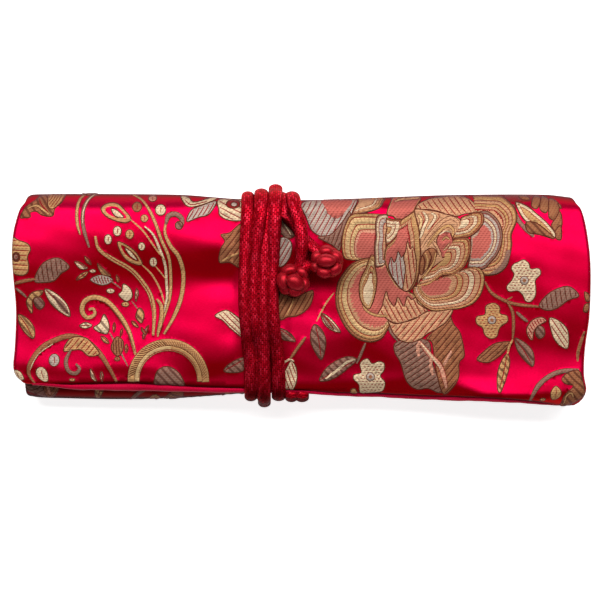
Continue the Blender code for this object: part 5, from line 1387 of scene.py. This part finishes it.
cord_mat, knot_mat = cord_material(), knot_material()
LOBES_A = [(120, 9, 32, 4.0, 2.7), (93, 66, 0, 2.9, 2.4), (28, 66, -12, 3.1, 2.5), (-38, 66, 8, 3.1, 2.5), (-106, 64, 0, 3.0, 2.4), (152, 68, 0, 2.6, 2.1),
           (-158, 80, 0, 2.4, 2.2), (60, 118, 0, 2.9, 2.5), (0, 118, 0, 2.9, 2.5), (-60, 118, 0, 2.9, 2.5), (-120, 118, 0, 2.9, 2.5), (170, 122, 0, 2.9, 2.5),
           (115, 120, 0, 2.9, 2.5), (0, 174, 0, 3.8, 3.2)]
LOBES_B = [(-50, 14, 76, 3.9, 3.1), (112, 64, 8, 3.3, 2.5), (184, 62, 0, 3.7, 2.8), (-80, 66, 0, 2.7, 2.4), (-24, 68, 0, 3.0, 2.3), (42, 72, 0, 2.9, 2.3),
           (-133, 82, 0, 2.5, 2.2), (80, 118, 0, 2.9, 2.5), (20, 118, 0, 2.9, 2.5), (-50, 118, 0, 2.9, 2.5), (-105, 120, 0, 2.9, 2.5), (190, 118, 0, 2.9, 2.5),
           (135, 118, 0, 2.9, 2.5), (0, 174, 0, 3.8, 3.2)]
for tag, start, loops, end, tail, knot, lobes, wide in (
        ("a", "b4", ["s3", "s1"], "end_a", TAIL_A, KNOT_A, LOBES_A, 0.14),
        ("b", "b5", ["s4", "s2"], "end_b", TAIL_B, KNOT_B, LOBES_B, 0.26)):
    line = cord_line(start, loops, end, tail, knot)
    path, length = resampled(line, 0.9)
    z_under = path[:, 2].min()
    gy, gz = (path[:, 1] - CENTRE[0]) / 43.0, (path[:, 2] - CENTRE[1]) / 21.0
    up = np.stack([gy * 0, gy ** 5, gz ** 5], -1)
    up /= np.linalg.norm(up, axis=1, keepdims=True)
    edge = np.abs(up[:, 1])                            # flatter and wider where it bends round a fold
    obj = tube("tie_cord_run_" + tag, path, CORD_D / 2, 28, cord_mat, up=up,
               flat=np.stack([1.16 + wide * edge, 1.0 - 0.06 * edge], -1))
    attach(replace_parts(obj, "tie_cord_" + tag), "root")
    ball = build_knot("knot_" + tag, knot, lobes, knot_mat)
    pieces = [ball]
    if tag == "b":
        pieces.append(build_collar("knot_collar_b", (float(X_OF(305.6)), float(Y_OF(268.8)), knot[2] + 0.6), (3.7, 2.75), 62, cord_mat))
    for piece in pieces:
        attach(piece, "root")
    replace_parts(ball, "button_knot_" + tag)
    print("cord", tag, "length mm", round(length, 1), "lowest", round(float(z_under) - CORD_D / 2, 2))

# zips and sliders keep their CAD shape, with woven tape and brushed metal
tape = satin_material("zip_tape", rgb(150, 0, 30), rgb(110, 0, 18), rgb(180, 10, 44))
metal = Mat("zip_slider_metal")
metal.done(Base_Color=metal.ramp(metal.noise(metal.n("TexCoord").outputs["Object"], 900.0, 2.0), [(0.3, rgb(170, 130, 70)), (0.7, rgb(222, 184, 112))]),
           Roughness=0.34, Metallic=1.0, Normal=metal.bump(metal.noise(metal.n("TexCoord").outputs["Object"], 2400.0, 1.0), 0.00004, 0.6))
for name in ("back", "inner", "flap"):
    for node, mat, slot in (("zip_" + name, tape, "satin"), ("slider_" + name, metal.m, "zip_metal")):
        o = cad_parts[node]
        o.data.materials.clear()
        o.data.materials.append(mat)
        if mat is tape and not o.data.uv_layers:
            co = np.array([v.co[:] for v in o.data.vertices])
            set_uv(o, co[:, :2] * 100)

# ---- floor, light and camera ---------------------------------------------------
# the floor gives off light of its own, because the photo's background is plain white
floor_mat = Mat("pale_floor")
floor_mat.done(Base_Color=(0.95, 0.95, 0.95), Roughness=0.9, Emission_Color=(1.0, 1.0, 1.0), Emission_Strength=0.8)
floor = make("floor", np.array([(-3000, -3000, -0.75), (3000, -3000, -0.75), (3000, 3000, -0.75), (-3000, 3000, -0.75)], float), [(0, 1, 2, 3)], floor_mat.m)

world = bpy.data.worlds.new("studio")
world.use_nodes = True
world.node_tree.nodes["Background"].inputs["Color"].default_value = (1.0, 1.0, 1.0, 1.0)
world.node_tree.nodes["Background"].inputs["Strength"].default_value = 0.09
bpy.context.scene.world = world


def area(name, loc, aim, size, power, size_y=None):
    light = bpy.data.lights.new(name, "AREA")
    light.energy = power
    light.shape = "RECTANGLE"
    light.size, light.size_y = size, size_y or size
    obj = bpy.data.objects.new(name, light)
    bpy.context.scene.collection.objects.link(obj)
    obj.location = loc
    obj.rotation_euler = (Vector(aim) - Vector(loc)).to_track_quat("-Z", "Y").to_euler()


area("soft_top", (0.0, 0.56, 1.05), (0, 0.0, 0), 1.7, 17.5, 0.5)
area("soft_front", (0.0, -0.9, 0.9), (0, 0, 0), 1.5, 0.5, 0.5)

bpy.context.scene.view_settings.view_transform = "Standard"
cam = bpy.data.cameras.new("camera")
cam.sensor_width = 36.0
DIST = 1.25
cam.lens = 36.0 * DIST / (600 * PX * MM)
cam_obj = bpy.data.objects.new("camera", cam)
bpy.context.scene.collection.objects.link(cam_obj)
cam_obj.location = (-PX * MM, 0.5 * PX * MM, DIST + 0.022)
cam_obj.rotation_euler = (0, 0, 0)
cam.clip_end = 20
bpy.context.scene.camera = cam_obj
